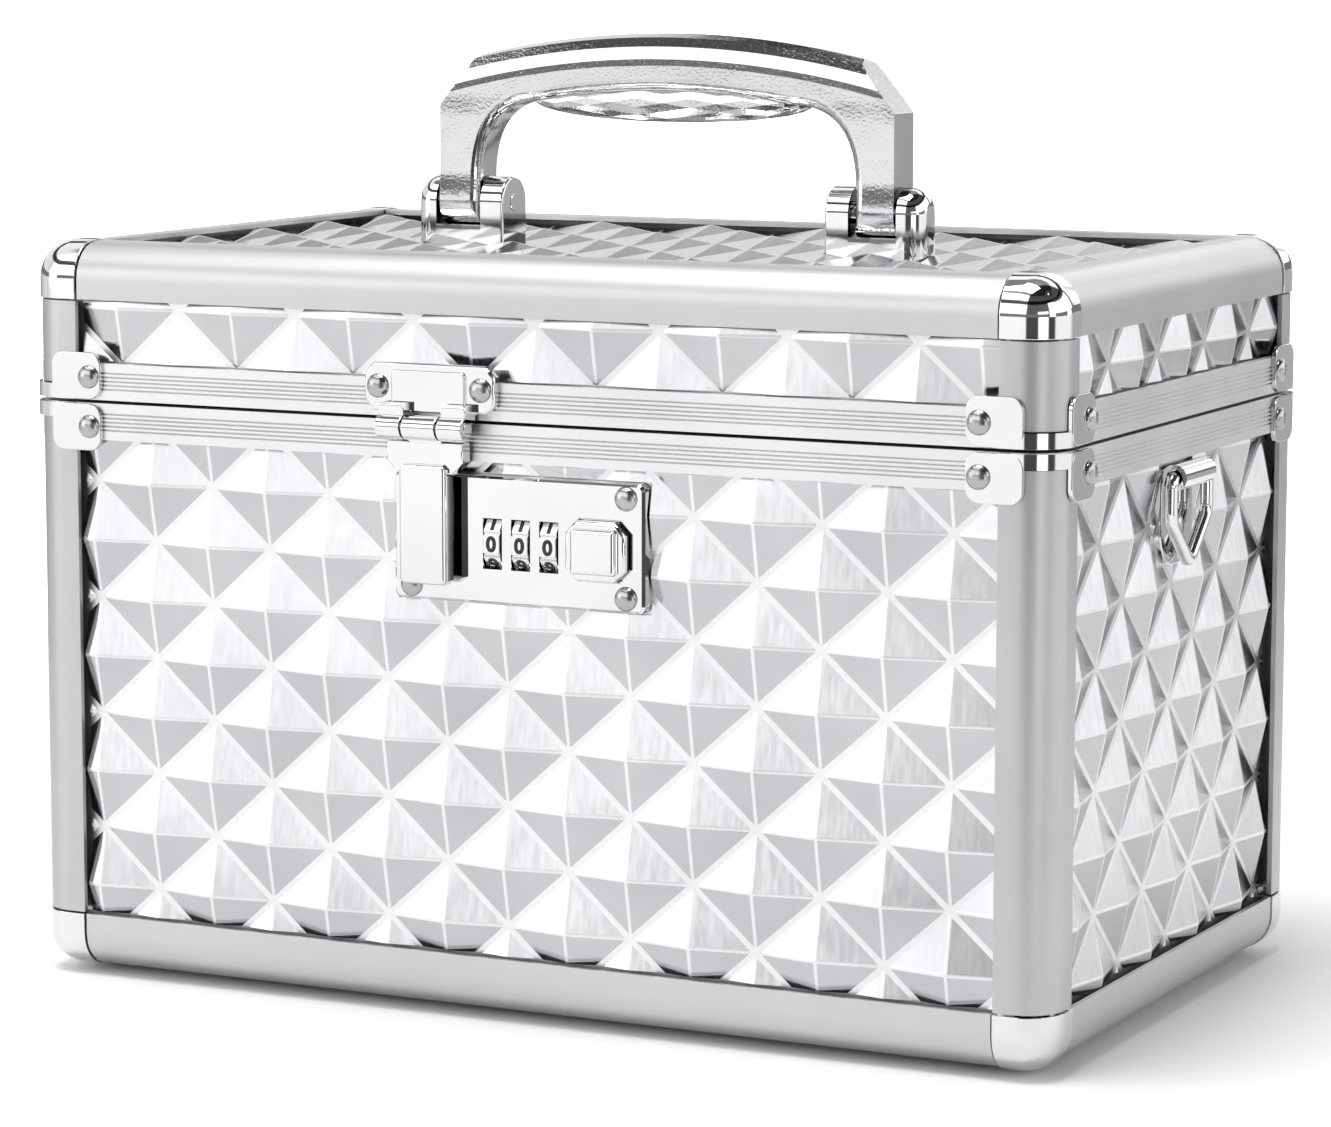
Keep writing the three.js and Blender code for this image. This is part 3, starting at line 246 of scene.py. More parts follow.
# %% Strips of the walls, layer by layer
below_eye = [
    (0.0, 0.45), (0.05, 0.42), (0.09, 0.6), (0.12, 0.66), (0.24, 0.62), (0.25, 0.04), (0.335, 0.04),
    (0.345, 1.0), (0.41, 1.0), (0.42, 0.04), (0.465, 0.04), (0.48, 0.6), (0.62, 0.6), (0.65, 0.38),
    (0.663, 0.25), (0.737, 0.25), (0.75, 0.6), (0.78, 0.12), (0.88, 0.12), (1.0, 0.45),
]
horizon = [
    (0.0, 0.1), (0.08, 0.1), (0.088, 0.95), (0.137, 0.95), (0.145, 0.1), (0.59, 0.1), (0.597, 0.85),
    (0.64, 0.85), (0.65, 0.1), (1.0, 0.1),
]
at_eye = [
    (0.0, 0.45), (0.06, 0.4), (0.09, 0.75), (0.12, 0.9), (0.24, 0.9), (0.25, 0.06), (0.33, 0.06),
    (0.34, 1.0), (0.41, 1.0), (0.42, 0.08), (0.47, 0.08), (0.485, 0.85), (0.66, 0.9), (0.67, 0.1),
    (0.685, 0.1), (0.695, 0.9), (0.718, 0.9), (0.72, 0.42), (0.734, 0.42), (0.736, 0.9),
    (0.79, 0.9), (0.8, 0.45), (0.85, 0.45), (0.88, 0.5), (1.0, 0.45),
]
above_eye = [stop for stop in at_eye if not 0.3 < stop[0] < 0.45]
overhead = [
    (0.0, 0.5), (0.05, 0.5), (0.06, 1.0), (0.235, 1.0), (0.245, 0.04), (0.65, 0.04), (0.67, 0.6),
    (0.8, 0.6), (1.0, 0.5),
]
layers_from = (
    (None, below_eye), (0.503, horizon), (0.563, at_eye), (0.61, above_eye), (0.8, overhead),
)
room_strength = 2.2
shade = None
for level, stops in layers_from:
    strips = room_node("ShaderNodeValToRGB")
    ramp_stops(strips, stops)
    join(around.outputs[0], strips.inputs[0])
    if level is None:
        shade = strips.outputs[0]
        continue
    above = room_node("ShaderNodeMath", operation="GREATER_THAN")
    above.inputs[1].default_value = level
    join(height.outputs[0], above.inputs[0])
    layers = room_node("ShaderNodeMix", data_type="RGBA")
    join(above.outputs[0], layers.inputs["Factor"])
    join(shade, layers.inputs["A"])
    join(strips.outputs[0], layers.inputs["B"])
    shade = layers.outputs["Result"]

# %% What the box mirrors and what the camera sees
both = room_node("ShaderNodeMix", data_type="RGBA", blend_type="MULTIPLY")
both.inputs["Factor"].default_value = 1
join(walls.outputs[0], both.inputs["A"])
join(shade, both.inputs["B"])
seen = room_node("ShaderNodeLightPath")
view = room_node("ShaderNodeMix", data_type="RGBA")
view.inputs["B"].default_value = (1, 1, 1, 1)
join(seen.outputs["Is Camera Ray"], view.inputs["Factor"])
join(both.outputs["Result"], view.inputs["A"])
background = room_node("ShaderNodeBackground")
background.inputs["Strength"].default_value = room_strength
join(view.outputs["Result"], background.inputs["Color"])
output = room_node("ShaderNodeOutputWorld")
join(background.outputs[0], output.inputs[0])


# %% Lamps
def softbox(name, place, size, power):
    data = bpy.data.lights.new(name, "AREA")
    data.shape = "RECTANGLE"
    data.size, data.size_y = size
    data.energy = power
    lamp = add_object(name, data)
    lamp.location = place
    lamp.rotation_euler = (target - Vector(place)).to_track_quat("-Z", "Y").to_euler()
    print(name, power, "W")


softbox("lamp_top", (-0.1, -0.25, 1.6), (0.8, 0.7), 19)
softbox("lamp_left", (-1.3, -0.9, 0.3), (0.7, 0.5), 1)
softbox("lamp_right", (1.5, -0.5, 0.6), (0.5, 0.9), 2)

# %% [markdown]
# ## Finishes
# A metal is one Principled shader with full metallic, and what makes it real is the small stuff:
# colour that drifts a little, roughness that follows the grain, and a bump too fine to count. Each
# finish reads Object coordinates, which are the place in the shared frame, because every object
# sits at the origin. So the grain has the same size on every piece.


# %% Helpers for materials
def grain(tree, scale, detail=3, stretch=(1, 1, 1)):
    place = tree.nodes.new("ShaderNodeTexCoord")
    mapping = tree.nodes.new("ShaderNodeMapping")
    mapping.inputs["Scale"].default_value = stretch
    tree.links.new(place.outputs["Object"], mapping.inputs["Vector"])
    noise = tree.nodes.new("ShaderNodeTexNoise")
    noise.inputs["Scale"].default_value = scale
    noise.inputs["Detail"].default_value = detail
    tree.links.new(mapping.outputs[0], noise.inputs["Vector"])
    return noise.outputs["Fac"]


noise_low, noise_high = 0.3, 0.7


def spread(tree, source, low, high):
    ramp = tree.nodes.new("ShaderNodeMapRange")
    ramp.inputs["From Min"].default_value = noise_low
    ramp.inputs["From Max"].default_value = noise_high
    ramp.inputs["To Min"].default_value = low
    ramp.inputs["To Max"].default_value = high
    tree.links.new(source, ramp.inputs["Value"])
    return ramp.outputs[0]


def tint(tree, source, dark, light):
    ramp = tree.nodes.new("ShaderNodeValToRGB")
    ramp_stops(ramp, [(noise_low, dark), (noise_high, light)])
    tree.links.new(source, ramp.inputs[0])
    return ramp.outputs[0]


def bump(tree, source, strength, depth, over=None):
    node = tree.nodes.new("ShaderNodeBump")
    if over:
        tree.links.new(over, node.inputs["Normal"])
    node.inputs["Strength"].default_value = strength
    node.inputs["Distance"].default_value = depth
    tree.links.new(source, node.inputs["Height"])
    return node.outputs[0]


drift_scale = 35


def metal(name, dark, light, smooth, rough, fine_scale, fine_depth, stretch=(1, 1, 1),
          sag=0, sag_scale=45):
    material, tree, shader = new_material(name)
    shader.inputs["Metallic"].default_value = 1
    drift = grain(tree, drift_scale)
    fine = grain(tree, fine_scale, 4, stretch)
    tree.links.new(tint(tree, drift, dark, light), shader.inputs["Base Color"])
    tree.links.new(spread(tree, fine, smooth, rough), shader.inputs["Roughness"])
    waves = bump(tree, grain(tree, sag_scale, 2), 1, sag) if sag else None
    tree.links.new(bump(tree, fine, 0.35, fine_depth, waves), shader.inputs["Normal"])
    return material


# %% [markdown]
# ### Drawn aluminium
# The edge profiles are pressed through a die and anodised, so they are satin, with hairlines that
# run along their length. A noise that is stretched 400 times along one axis draws such lines. The
# three directions of the profiles get one material each, because the stretch follows the axes. The
# upright posts also get a darker tone than the lying rails, which is painted shade.

# %% Profiles, one finish for each direction
lying_tones = ((0.54, 0.542, 0.55), (0.57, 0.572, 0.58))
# The upright tones are darker than the lying ones: painted shade on the posts.
shaded_upright_tones = ((0.48, 0.482, 0.49), (0.51, 0.512, 0.52))
hairline = 400
along = {
    "x": (lying_tones, (1, hairline, hairline)),
    "y": (lying_tones, (hairline, 1, hairline)),
    "z": (shaded_upright_tones, (hairline, hairline, 1)),
}
profile_finish = {
    axis: metal(f"drawn_aluminium_{axis}", *tones, 0.38, 0.44, 12, 0.000004, stretch)
    for axis, (tones, stretch) in along.items()
}
rim_finish = metal("milled_rim", (0.70, 0.703, 0.71), (0.75, 0.753, 0.76), 0.34, 0.42, 60, 0.000004)

# %% [markdown]
# ### Embossed sheet
# The boards are faced with thin bright sheet. It is smoother than the profiles, and rolling left a
# faint grain in it, which runs up the sides and from front to back on the lid. Wide, shallow waves
# keep its mirror images soft. The inside of each board has a black film, which is a second material
# on the faces that look inwards.

# %% Sheet, film and base
roll_stretch = 0.02
rolled = {"upright": (1, 1, roll_stretch), "flat": (1, roll_stretch, 1)}
sheet_finish = {
    way: metal(
        f"embossed_sheet_{way}", (0.46, 0.466, 0.48), (0.53, 0.536, 0.55), 0.12, 0.2, 900, 0.00001,
        stretch, sag=0.00018, sag_scale=12,
    )
    for way, stretch in rolled.items()
}
# The lighter line finish on the bevelled ridges and flat valleys is painted highlight: it keeps
# them white whatever they mirror.
highlight_line_finish = metal(
    "painted_highlight_line", (0.72, 0.725, 0.735), (0.78, 0.785, 0.795), 0.28, 0.36, 200, 0.00001,
)


dull_spread = 0.08


def dull(name, dark, light, rough, scale, depth):
    material, tree, shader = new_material(name)
    fine = grain(tree, scale, 5)
    tree.links.new(tint(tree, fine, dark, light), shader.inputs["Base Color"])
    tree.links.new(
        spread(tree, fine, rough - dull_spread, rough + dull_spread), shader.inputs["Roughness"]
    )
    tree.links.new(bump(tree, fine, 0.5, depth), shader.inputs["Normal"])
    return material


film_finish = dull("black_film", (0.012, 0.012, 0.013), (0.03, 0.03, 0.032), 0.6, 1400, 0.00004)
base_finish = dull("black_base", (0.014, 0.014, 0.015), (0.028, 0.028, 0.03), 0.62, 900, 0.00005)
ink_finish = dull("dial_ink", (0.008, 0.008, 0.008), (0.015, 0.015, 0.015), 0.45, 700, 0.00001)

# %% [markdown]
# ### Chrome and nickel
# The fittings are plated and polished. Chrome is nearly a mirror: what stops it from looking like
# a computer's is a roughness that wanders a little, from handling, and a surface that isn't quite
# flat. The rivets are duller and warmer nickel. The carry handle is a casting, so its chrome has
# small pebbles in it that show in its dark reflections.

# %% Plated finishes
chrome_finish = metal("chrome", (0.68, 0.682, 0.69), (0.74, 0.742, 0.75), 0.03, 0.07, 90, 0.00001)
cast_finish = metal(
    "cast_chrome", (0.56, 0.562, 0.57), (0.64, 0.642, 0.65), 0.04, 0.1, 1500, 0.00008, sag=0.00024,
)
nickel_finish = metal(
    "nickel", (0.38, 0.375, 0.365), (0.47, 0.465, 0.455), 0.16, 0.28, 500, 0.00002,
)
wheel_finish = metal(
    "wheel_metal", (0.70, 0.70, 0.71), (0.82, 0.82, 0.83), 0.18, 0.3, 120, 0.00002, (40, 1, 1),
)
plated, riveted = [chrome_finish], [chrome_finish, nickel_finish]
print(len(bpy.data.materials), "materials")

# %% [markdown]
# ## Finishes for the CAD nodes that keep their shape
# Three nodes keep their own mesh: the two leaves of the piano hinge, which are drawn like the
# rails, and the black bottom board with its feet. They only need a finish. New meshes replace all
# the others in the next cells.

# %% Dress the nodes
kept_shapes = {
    "hinge_leaf_base": profile_finish["x"],
    "hinge_leaf_lid": profile_finish["x"],
    "panel_bottom": base_finish,
}
for node, finish in kept_shapes.items():
    materials = nodes[node].data.materials
    materials.clear()
    materials.append(finish)
print(len(kept_shapes), "nodes dressed")

# %% [markdown]
# ## Tools for new meshes
# A new piece starts as a block, a cone or a sphere in the frame of its face, and operators shape
# it: bevel rounds it, bisect_plane trims it and solidify gives it a wall. One last helper welds the
# doubles, turns the faces outwards, marks the creases and moves the mesh to its place. It also
# counts the edges that don't join exactly two faces. None is open, but a few join three or four.


# %% Shapes that the pieces start from
def block(bm, across, up, out):
    size = [high - low for low, high in (across, up, out)]
    centre = [(high + low) / 2 for low, high in (across, up, out)]
    place = Matrix.Translation(centre) @ Matrix.Diagonal((*size, 1))
    bmesh.ops.create_cube(bm, size=1, matrix=place)


tiny = 1e-6


def upright_edges(bm, below=math.inf):
    return [e for e in bm.edges
            if abs(e.verts[0].co.z - e.verts[1].co.z) > tiny and e.verts[0].co.y < below]


def edges_at(bm, level):
    return [e for e in bm.edges if all(abs(v.co.z - level) < tiny for v in e.verts)]


def shift_grown(bm, grown, by):
    moved = [part for part in grown["geom"] if isinstance(part, bmesh.types.BMVert)]
    bmesh.ops.translate(bm, verts=moved, vec=by)


def give_wall(bm, middle, thickness):
    bmesh.ops.recalc_face_normals(bm, faces=bm.faces)
    facing = bm.faces[:][0]
    outwards = facing.normal.dot(facing.calc_center_median() - Vector(middle)) > 0
    bmesh.ops.solidify(bm, geom=bm.faces[:], thickness=thickness if outwards else -thickness)


def merge_flat(bm, degrees):
    angle = math.radians(degrees)
    bmesh.ops.dissolve_limit(bm, angle_limit=angle, verts=bm.verts, edges=bm.edges)


def round_off(bm, edges, width, segments=3, finish=-1):
    bmesh.ops.bevel(
        bm, geom=edges, offset=width, offset_type="OFFSET", segments=segments,
        profile=0.5, affect="EDGES", clamp_overlap=True, material=finish,
    )


# %% Lofts, plates and bars
def loft(bm, rings):
    own = bmesh.new()
    loops = [[own.verts.new(point) for point in ring] for ring in rings]
    for near, far in zip(loops, loops[1:]):
        for at in range(len(near)):
            own.faces.new((near[at - 1], near[at], far[at], far[at - 1]))
    own.faces.new(loops[0])
    own.faces.new(loops[-1])
    bmesh.ops.recalc_face_normals(own, faces=own.faces)
    append(bm, own)


def rounded_plate(bm, across, up, out, corner=0, edge=0, corner_steps=8, edge_steps=2):
    own = bmesh.new()
    block(own, across, up, out)
    if corner:
        round_off(own, upright_edges(own), corner, corner_steps)
    if edge:
        round_off(own, edges_at(own, out[1]), edge, edge_steps)
    append(bm, own)


def append(bm, own, finish=0):
    for face in own.faces:
        face.material_index = max(face.material_index, finish)
    carrier = bpy.data.meshes.new("carrier")
    own.to_mesh(carrier)
    own.free()
    bm.from_mesh(carrier)
    bpy.data.meshes.remove(carrier)


def round_bar(bm, across, level, out, radius, segments=28, edge=0.15):
    own = bmesh.new()
    place = Matrix.Translation((sum(across) / 2, level, out)) @ sideways
    bmesh.ops.create_cone(
        own, cap_ends=True, segments=segments, radius1=radius, radius2=radius,
        depth=across[1] - across[0], matrix=place,
    )
    if edge:
        rims = [e for e in own.edges if abs(e.verts[0].co.x - e.verts[1].co.x) < tiny]
        round_off(own, rims, edge, 2)
    append(bm, own)


# %% Cuts and rivets
def trim(bm, point, outwards):
    parts = bm.verts[:] + bm.edges[:] + bm.faces[:]
    done = bmesh.ops.bisect_plane(
        bm, geom=parts, plane_co=point, plane_no=outwards, clear_outer=True,
    )
    cut = [part for part in done["geom_cut"] if isinstance(part, bmesh.types.BMEdge)]
    if cut:
        bmesh.ops.holes_fill(bm, edges=cut)


rivet_radius, rivet_height, rivet_sunk = 2.6, 1.4, 0.25


def rivet(bm, across, level, out, finish=1):
    own = bmesh.new()
    size = Matrix.Diagonal((rivet_radius, rivet_radius, rivet_height, 1))
    bmesh.ops.create_uvsphere(own, u_segments=28, v_segments=16, radius=1, matrix=size)
    trim(own, (0, 0, -rivet_sunk), (0, 0, -1))
    bmesh.ops.translate(own, verts=own.verts, vec=(across, level, out))
    append(bm, own, finish)


# %% Finish a piece
def piece(bm, name, place, body, finishes, stands_for, crease=32):
    bmesh.ops.remove_doubles(bm, verts=bm.verts, dist=0.0005)
    bmesh.ops.recalc_face_normals(bm, faces=bm.faces)
    bm.transform(place)
    if place.determinant() < 0:
        bmesh.ops.reverse_faces(bm, faces=bm.faces)
    for face in bm.faces:
        face.smooth = True
    for edge in bm.edges:
        soft = edge.is_manifold and edge.calc_face_angle() < math.radians(crease)
        edge.smooth = edge.smooth and soft
    uneven = sum(not edge.is_manifold for edge in bm.edges)
    mesh = bpy.data.meshes.new(name)
    bm.to_mesh(mesh)
    bm.free()
    for finish in finishes:
        mesh.materials.append(finish)
    made = add_object(name, mesh)
    even = made.modifiers.new("even_shading", "WEIGHTED_NORMAL")
    even.keep_sharp = True
    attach(made, body)
    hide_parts(*stands_for)
    print(name, len(mesh.polygons), "faces,", uneven, "edges that don't join two")


# %% [markdown]
# ## Embossed boards
# Pyramids stand on a diamond lattice, with flat valleys between them. Their ridges are bevelled
# round, because pressed sheet can't fold to a sharp edge, and the round catches a soft white line.
# That line and the flat valleys also get a lighter finish than the facets, which is painted
# highlight. A shader bump would slide the reflections but leave the outline flat, so each pyramid
# is a mesh: a cone of four sides, with its ridges bevelled. The field is then trimmed at the lips
# of the profiles, and pyramids give way to the plates that are riveted on.

# %% Sizes of the boards
edge_width, fit_gap = 12.25, 0.3
board_inset, board_thickness = 3.2, 4
flange_inset = board_inset + board_thickness + fit_gap
web_wall = 1.2
board_edge = flange_inset + web_wall / math.sqrt(2) + fit_gap
field_edge = edge_width + fit_gap
seam, seam_gap, rim_height, rim_lip = 125.8, 0.7, 8.3, 1.5
emboss_height, emboss_root, valley = 2.4, 1, 1.3
ridge_round = 0.38


# %% One pyramid, cut to a window of the field
def pyramid(bm, centre, half, window):
    reach = half[0] * half[1] / math.hypot(*half)
    share = 1 - valley / 2 / reach
    height = emboss_height + emboss_root
    spread_out = share * height / emboss_height
    own = bmesh.new()
    place = (
        Matrix.Translation((*centre, height / 2 - emboss_root))
        @ Matrix.Diagonal((half[0] * spread_out, half[1] * spread_out, 1, 1))
    )
    bmesh.ops.create_cone(
        own, cap_ends=True, segments=4, radius1=1, radius2=0, depth=height, matrix=place
    )
    # Slot 2 on the bevelled ridges is the lighter line finish: painted highlight.
    round_off(own, upright_edges(own), ridge_round, 3, 2)
    for axis, (low, high) in enumerate(window):
        outwards = Vector((axis == 0, axis == 1, 0))
        if centre[axis] - half[axis] < low:
            trim(own, outwards * low, -outwards)
        if centre[axis] + half[axis] > high:
            trim(own, outwards * high, outwards)
    append(bm, own)


most_peaks = 40


def places(origin_at, pitch, low, high):
    first = math.ceil((low - origin_at) / pitch) - 1
    found = [origin_at + step * pitch for step in range(first, first + most_peaks)]
    return [place for place in found if place < high + pitch]


def windows_round(field, pads, centre, half):
    (left, right), (low, high) = field
    for (pad_left, pad_right), (pad_low, pad_high) in pads:
        beside = centre[0] + half[0] <= pad_left or centre[0] - half[0] >= pad_right
        if beside or centre[1] + half[1] <= pad_low or centre[1] - half[1] >= pad_high:
            continue
        return [
            ((left, pad_left), (low, high)), ((pad_right, right), (low, high)),
            ((pad_left, pad_right), (low, pad_low)), ((pad_left, pad_right), (pad_high, high)),
        ]
    return [field]


# %% A whole board
def board_sheet(bm, sheet, opening):
    own = bmesh.new()
    if not opening:
        block(own, *sheet, (-board_thickness, 0))
    else:
        columns = (sheet[0][0], opening[0][0], opening[0][1], sheet[0][1])
        rows = (sheet[1][0], opening[1][0], opening[1][1], sheet[1][1])
        bmesh.ops.create_grid(own, x_segments=3, y_segments=3, size=1.5)
        for vert in own.verts:
            vert.co.x, vert.co.y = columns[round(vert.co.x + 1.5)], rows[round(vert.co.y + 1.5)]
        middle = [f for f in own.faces if all(
            low < c < high for c, (low, high) in zip(f.calc_center_median(), opening))]
        bmesh.ops.delete(own, geom=middle, context="FACES")
        grown = bmesh.ops.extrude_face_region(own, geom=own.faces[:])
        shift_grown(own, grown, (0, 0, -board_thickness))
    # The back faces take the black film, slot 1. The flat front, the valleys, takes the lighter
    # line finish, slot 2, which is painted highlight.
    for face in own.faces:
        if face.calc_center_median().z < -board_thickness + 1e-4:
            face.material_index = 1
        elif face.calc_center_median().z > -1e-4:
            face.material_index = 2
    append(bm, own)


def embossed_board(name, place, body, node, sheet, field, pitches, peak, pads=(), opening=None):
    bm = bmesh.new()
    board_sheet(bm, sheet, opening)
    half = (pitches[0] / 2, pitches[1] / 2)
    for shift in (0, 0.5):
        for x in places(peak[0] + shift * pitches[0], pitches[0], *field[0]):
            for y in places(peak[1] + shift * pitches[1], pitches[1], *field[1]):
                for window in windows_round(field, pads, (x, y), half):
                    reach_x = window[0][0] < x + half[0] and x - half[0] < window[0][1]
                    if reach_x and window[1][0] < y + half[1] and y - half[1] < window[1][1]:
                        pyramid(bm, (x, y), half, window)
    bm.transform(Matrix.Translation((0, 0, -board_inset)))
    way = "flat" if node == "panel_lid_top" else "upright"
    finishes = [sheet_finish[way], film_finish, highlight_line_finish]
    piece(bm, name, place, body, finishes, [node], crease=50)


def about(centre, width):
    return (centre - width / 2, centre + width / 2)


def padded_room(across, up):
    return ((across[0] - fit_gap, across[1] + fit_gap), (up[0] - fit_gap, up[1] + fit_gap))


pitch_across, pitch_up, pitch_deep = 28.8, 25.5, 28.4
lock_middle = 0.6
lock_across, lock_up = about(lock_middle, 58.8), (87.8, 114.7)
ring_plate_low, ring_plate_high, tube_radius = 95, 116.4, 2.8
ring_plate_across = about(0, 19)
ring_plate_up = (ring_plate_low, ring_plate_high + tube_radius)
case_opening = ((-9.97 - fit_gap, 29.15 + fit_gap), (91.4 - fit_gap, 109.6 + fit_gap))
clevis_middle, clevis_width, clevis_depth = 50.45, 22.4, 11.6
body_up = (
    (board_edge, seam - seam_gap / 2 - rim_lip - fit_gap),
    (field_edge, seam - rim_height - fit_gap),
)
lid_up = (
    (seam + seam_gap / 2 + rim_lip + fit_gap, box_height - board_edge),
    (seam + rim_height + fit_gap, box_height - field_edge),
)


def side_spans(length):
    return about(0, length - 2 * board_edge), about(0, length - 2 * field_edge)


# %% Make the nine boards
for side in ("front", "back", "left", "right"):
    is_end = side in ("left", "right")
    sheet_across, field_across = side_spans(box_depth if is_end else box_width)
    pitches = (pitch_deep if is_end else pitch_across, pitch_up)
    peak = (1.2, 27.4) if is_end else (10.8, 18.9)
    pads = {"front": [padded_room(lock_across, lock_up)], "back": []}.get(
        side, [padded_room(ring_plate_across, ring_plate_up)])
    embossed_board(
        f"board_{side}", faces[side], "base", f"panel_{side}", (sheet_across, body_up[0]),
        (field_across, body_up[1]), pitches, peak, pads, case_opening if side == "front" else None,
    )
    lid_peak = (5.5, 140.4) if is_end else (17.3, 146)
    embossed_board(
        f"board_lid_{side}", faces[side], "lid", f"panel_lid_{side}", (sheet_across, lid_up[0]),
        (field_across, lid_up[1]), pitches, lid_peak,
    )

bracket_room = [
    padded_room(about(side * clevis_middle, clevis_width), about(0, clevis_depth))
    for side in (-1, 1)
]
top_sheet, top_field = zip(side_spans(box_width), side_spans(box_depth))
embossed_board(
    "board_lid_top", faces["top"], "lid", "panel_lid_top", top_sheet, top_field,
    (pitch_across, pitch_deep), (10.8, 0), bracket_room,
)

# %% [markdown]
# ## Corner caps
# The caps are pressed shells of chrome that end each edge like a quarter of a ball. A block whose
# edges are all bevelled by the same radius has exactly such corners, so one corner of it is cut
# out with three planes. A small pressed dimple sits on the diagonal.

# %% Corner caps
edge_round, cap_proud, cap_rim = 8, 0.35, 0.25
dimple_reach, dimple_depth = 0.6, 0.4


def corner_cap():
    bm = bmesh.new()
    far = 3 * edge_width
    block(bm, *[(-cap_proud, far)] * 3)
    round_off(bm, bm.edges[:], edge_round + cap_proud, 10)
    for axis in range(3):
        normal = [0, 0, 0]
        normal[axis] = 1
        trim(bm, [edge_width] * 3, normal)
    rims = [e for e in bm.edges if e.calc_face_angle(0) > math.radians(60)]
    round_off(bm, rims, cap_rim, 2)
    inwards = edge_round - (edge_round + cap_proud) / math.sqrt(3)
    tip = Vector([inwards] * 3)
    diagonal = Vector((1, 1, 1)).normalized()
    for vert in bm.verts:
        if (vert.co - tip).length < dimple_reach:
            vert.co += diagonal * dimple_depth
    return bm


for corner, place in corners.items():
    for level, at in (("bottom", place), ("top", upended(place, box_height))):
        piece(
            corner_cap(), f"corner_{level}_{corner}", at, "base" if level == "bottom" else "lid",
            plated, [f"cap_{level}_{corner}"],
        )

# %% [markdown]
# ## Brackets of the rims
# Each corner of a rim has a strap of polished sheet round it, with a plate riveted to either side.
# The strap is two flat walls with the edge between them bevelled into a round, given a thickness
# by solidify. The plates are blocks with rounded corners and a softened front.

# %% Brackets
bracket_wall, seat_gap = 0.95, 0.05
plate_span, plate_reach, plate_round, plate_soft = (6.5, 18.9), (0.5, 10.7), 3, 0.3
plate_rivet = (16, 5.4)
strap_reach, strap_height, strap_wall, strap_inside = 12, 3.15, 0.88, 9
swap_sides = Matrix(((0, 1, 0, 0), (1, 0, 0, 0), (0, 0, 1, 0), (0, 0, 0, 1)))


def rim_bracket():
    bm = bmesh.new()
    strap = bmesh.new()
    low = plate_reach[0]
    start = [strap.verts.new(p) for p in (
        (strap_reach, -seat_gap, low), (-seat_gap, -seat_gap, low), (-seat_gap, strap_reach, low))]
    path = [strap.edges.new(start[:2]), strap.edges.new(start[1:])]
    shift_grown(strap, bmesh.ops.extrude_edge_only(strap, edges=path), (0, 0, strap_height))
    fold = Vector((-seat_gap, -seat_gap))
    bend = [e for e in strap.edges if all((v.co.xy - fold).length < 1e-4 for v in e.verts)]
    round_off(strap, bend, edge_round + seat_gap, 12)
    give_wall(strap, (strap_inside, strap_inside, low), -strap_wall)
    append(bm, strap)
    for swapped in (False, True):
        side = bmesh.new()
        front = seat_gap + bracket_wall
        rounded_plate(side, plate_span, plate_reach, (seat_gap, front), plate_round, plate_soft)
        rivet(side, *plate_rivet, front)
        side.transform(stand_up)
        if swapped:
            side.transform(swap_sides)
            bmesh.ops.reverse_faces(side, faces=side.faces)
        append(bm, side)
    return bm


for corner, place in corners.items():
    lid_place = place @ Matrix.Translation((0, 0, seam))
    for half, at in (("lid", lid_place), ("base", upended(place, seam))):
        piece(
            rim_bracket(), f"bracket_{half}_{corner}", at, half, riveted,
            [f"rim_bracket_{half}_{corner}"],
        )

# %% [markdown]
# ## Edge profiles
# The CAD profiles have the true section, with lips, web and channels, in straight facets. Light
# on drawn aluminium runs in smooth bands, so each profile is welded and its round is shaded
# smooth. The sharp lips of rails and posts get a hair of a bevel.

# %% Welded copy of a CAD node
def welded(node):
    bm = bmesh.new()
    bm.from_mesh(nodes[node].data)
    bm.transform(Matrix.Scale(1 / mm, 4))
    bmesh.ops.remove_doubles(bm, verts=bm.verts, dist=0.002)
    merge_flat(bm, 0.5)
    return bm


def local_copy(node, place):
    bm = welded(node)
    bm.transform(place.inverted() @ Matrix.Scale(mm, 4))
    return bm


# %% Profiles
lip_round = 0.15
for node in sorted(nodes):
    kind = node.split("_")[0]
    if kind not in ("rail", "post", "rim") or node.startswith("rim_bracket"):
        continue
    profile = welded(node)
    if kind != "rim":
        lips = [e for e in profile.edges if e.calc_face_angle(0) > math.radians(75)]
        round_off(profile, lips, lip_round, 2)
    axis = "z" if kind == "post" else "y" if node.endswith(("left", "right")) else "x"
    finish = rim_finish if kind == "rim" else profile_finish[axis]
    piece(profile, f"profile_{node}", scale_down, nodes[node]["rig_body"], [finish], [node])

# %% [markdown]
# ## Hasp
# The hasp hangs from the lid: a riveted plate with a raised middle, two outer knuckles on a pin,
# and a tongue with the middle knuckle that drops over the lock. Every edge of the real one is
# polished round, so each block here gets its front edges bevelled.

# %% Sizes of the hasp
hasp_across, hasp_axis, hasp_out, barrel_radius = -19.2, 124.5, 4.6, 2.6
barrel_length, middle_length, knuckle_gap = 20.6, 8, 0.35
barrel = about(hasp_across, barrel_length)
middle_knuckle = about(hasp_across, middle_length)
outer_length = (barrel_length - middle_length - 2 * knuckle_gap) / 2
plate_low, plate_high, plate_front = 127.4, 137.6, 1.95


# %% Hasp plate
def chamfered_plate(bm, across, up, out, chamfer, edge, edge_steps=3):
    rounded_plate(bm, across, up, out, chamfer, edge, 1, edge_steps)


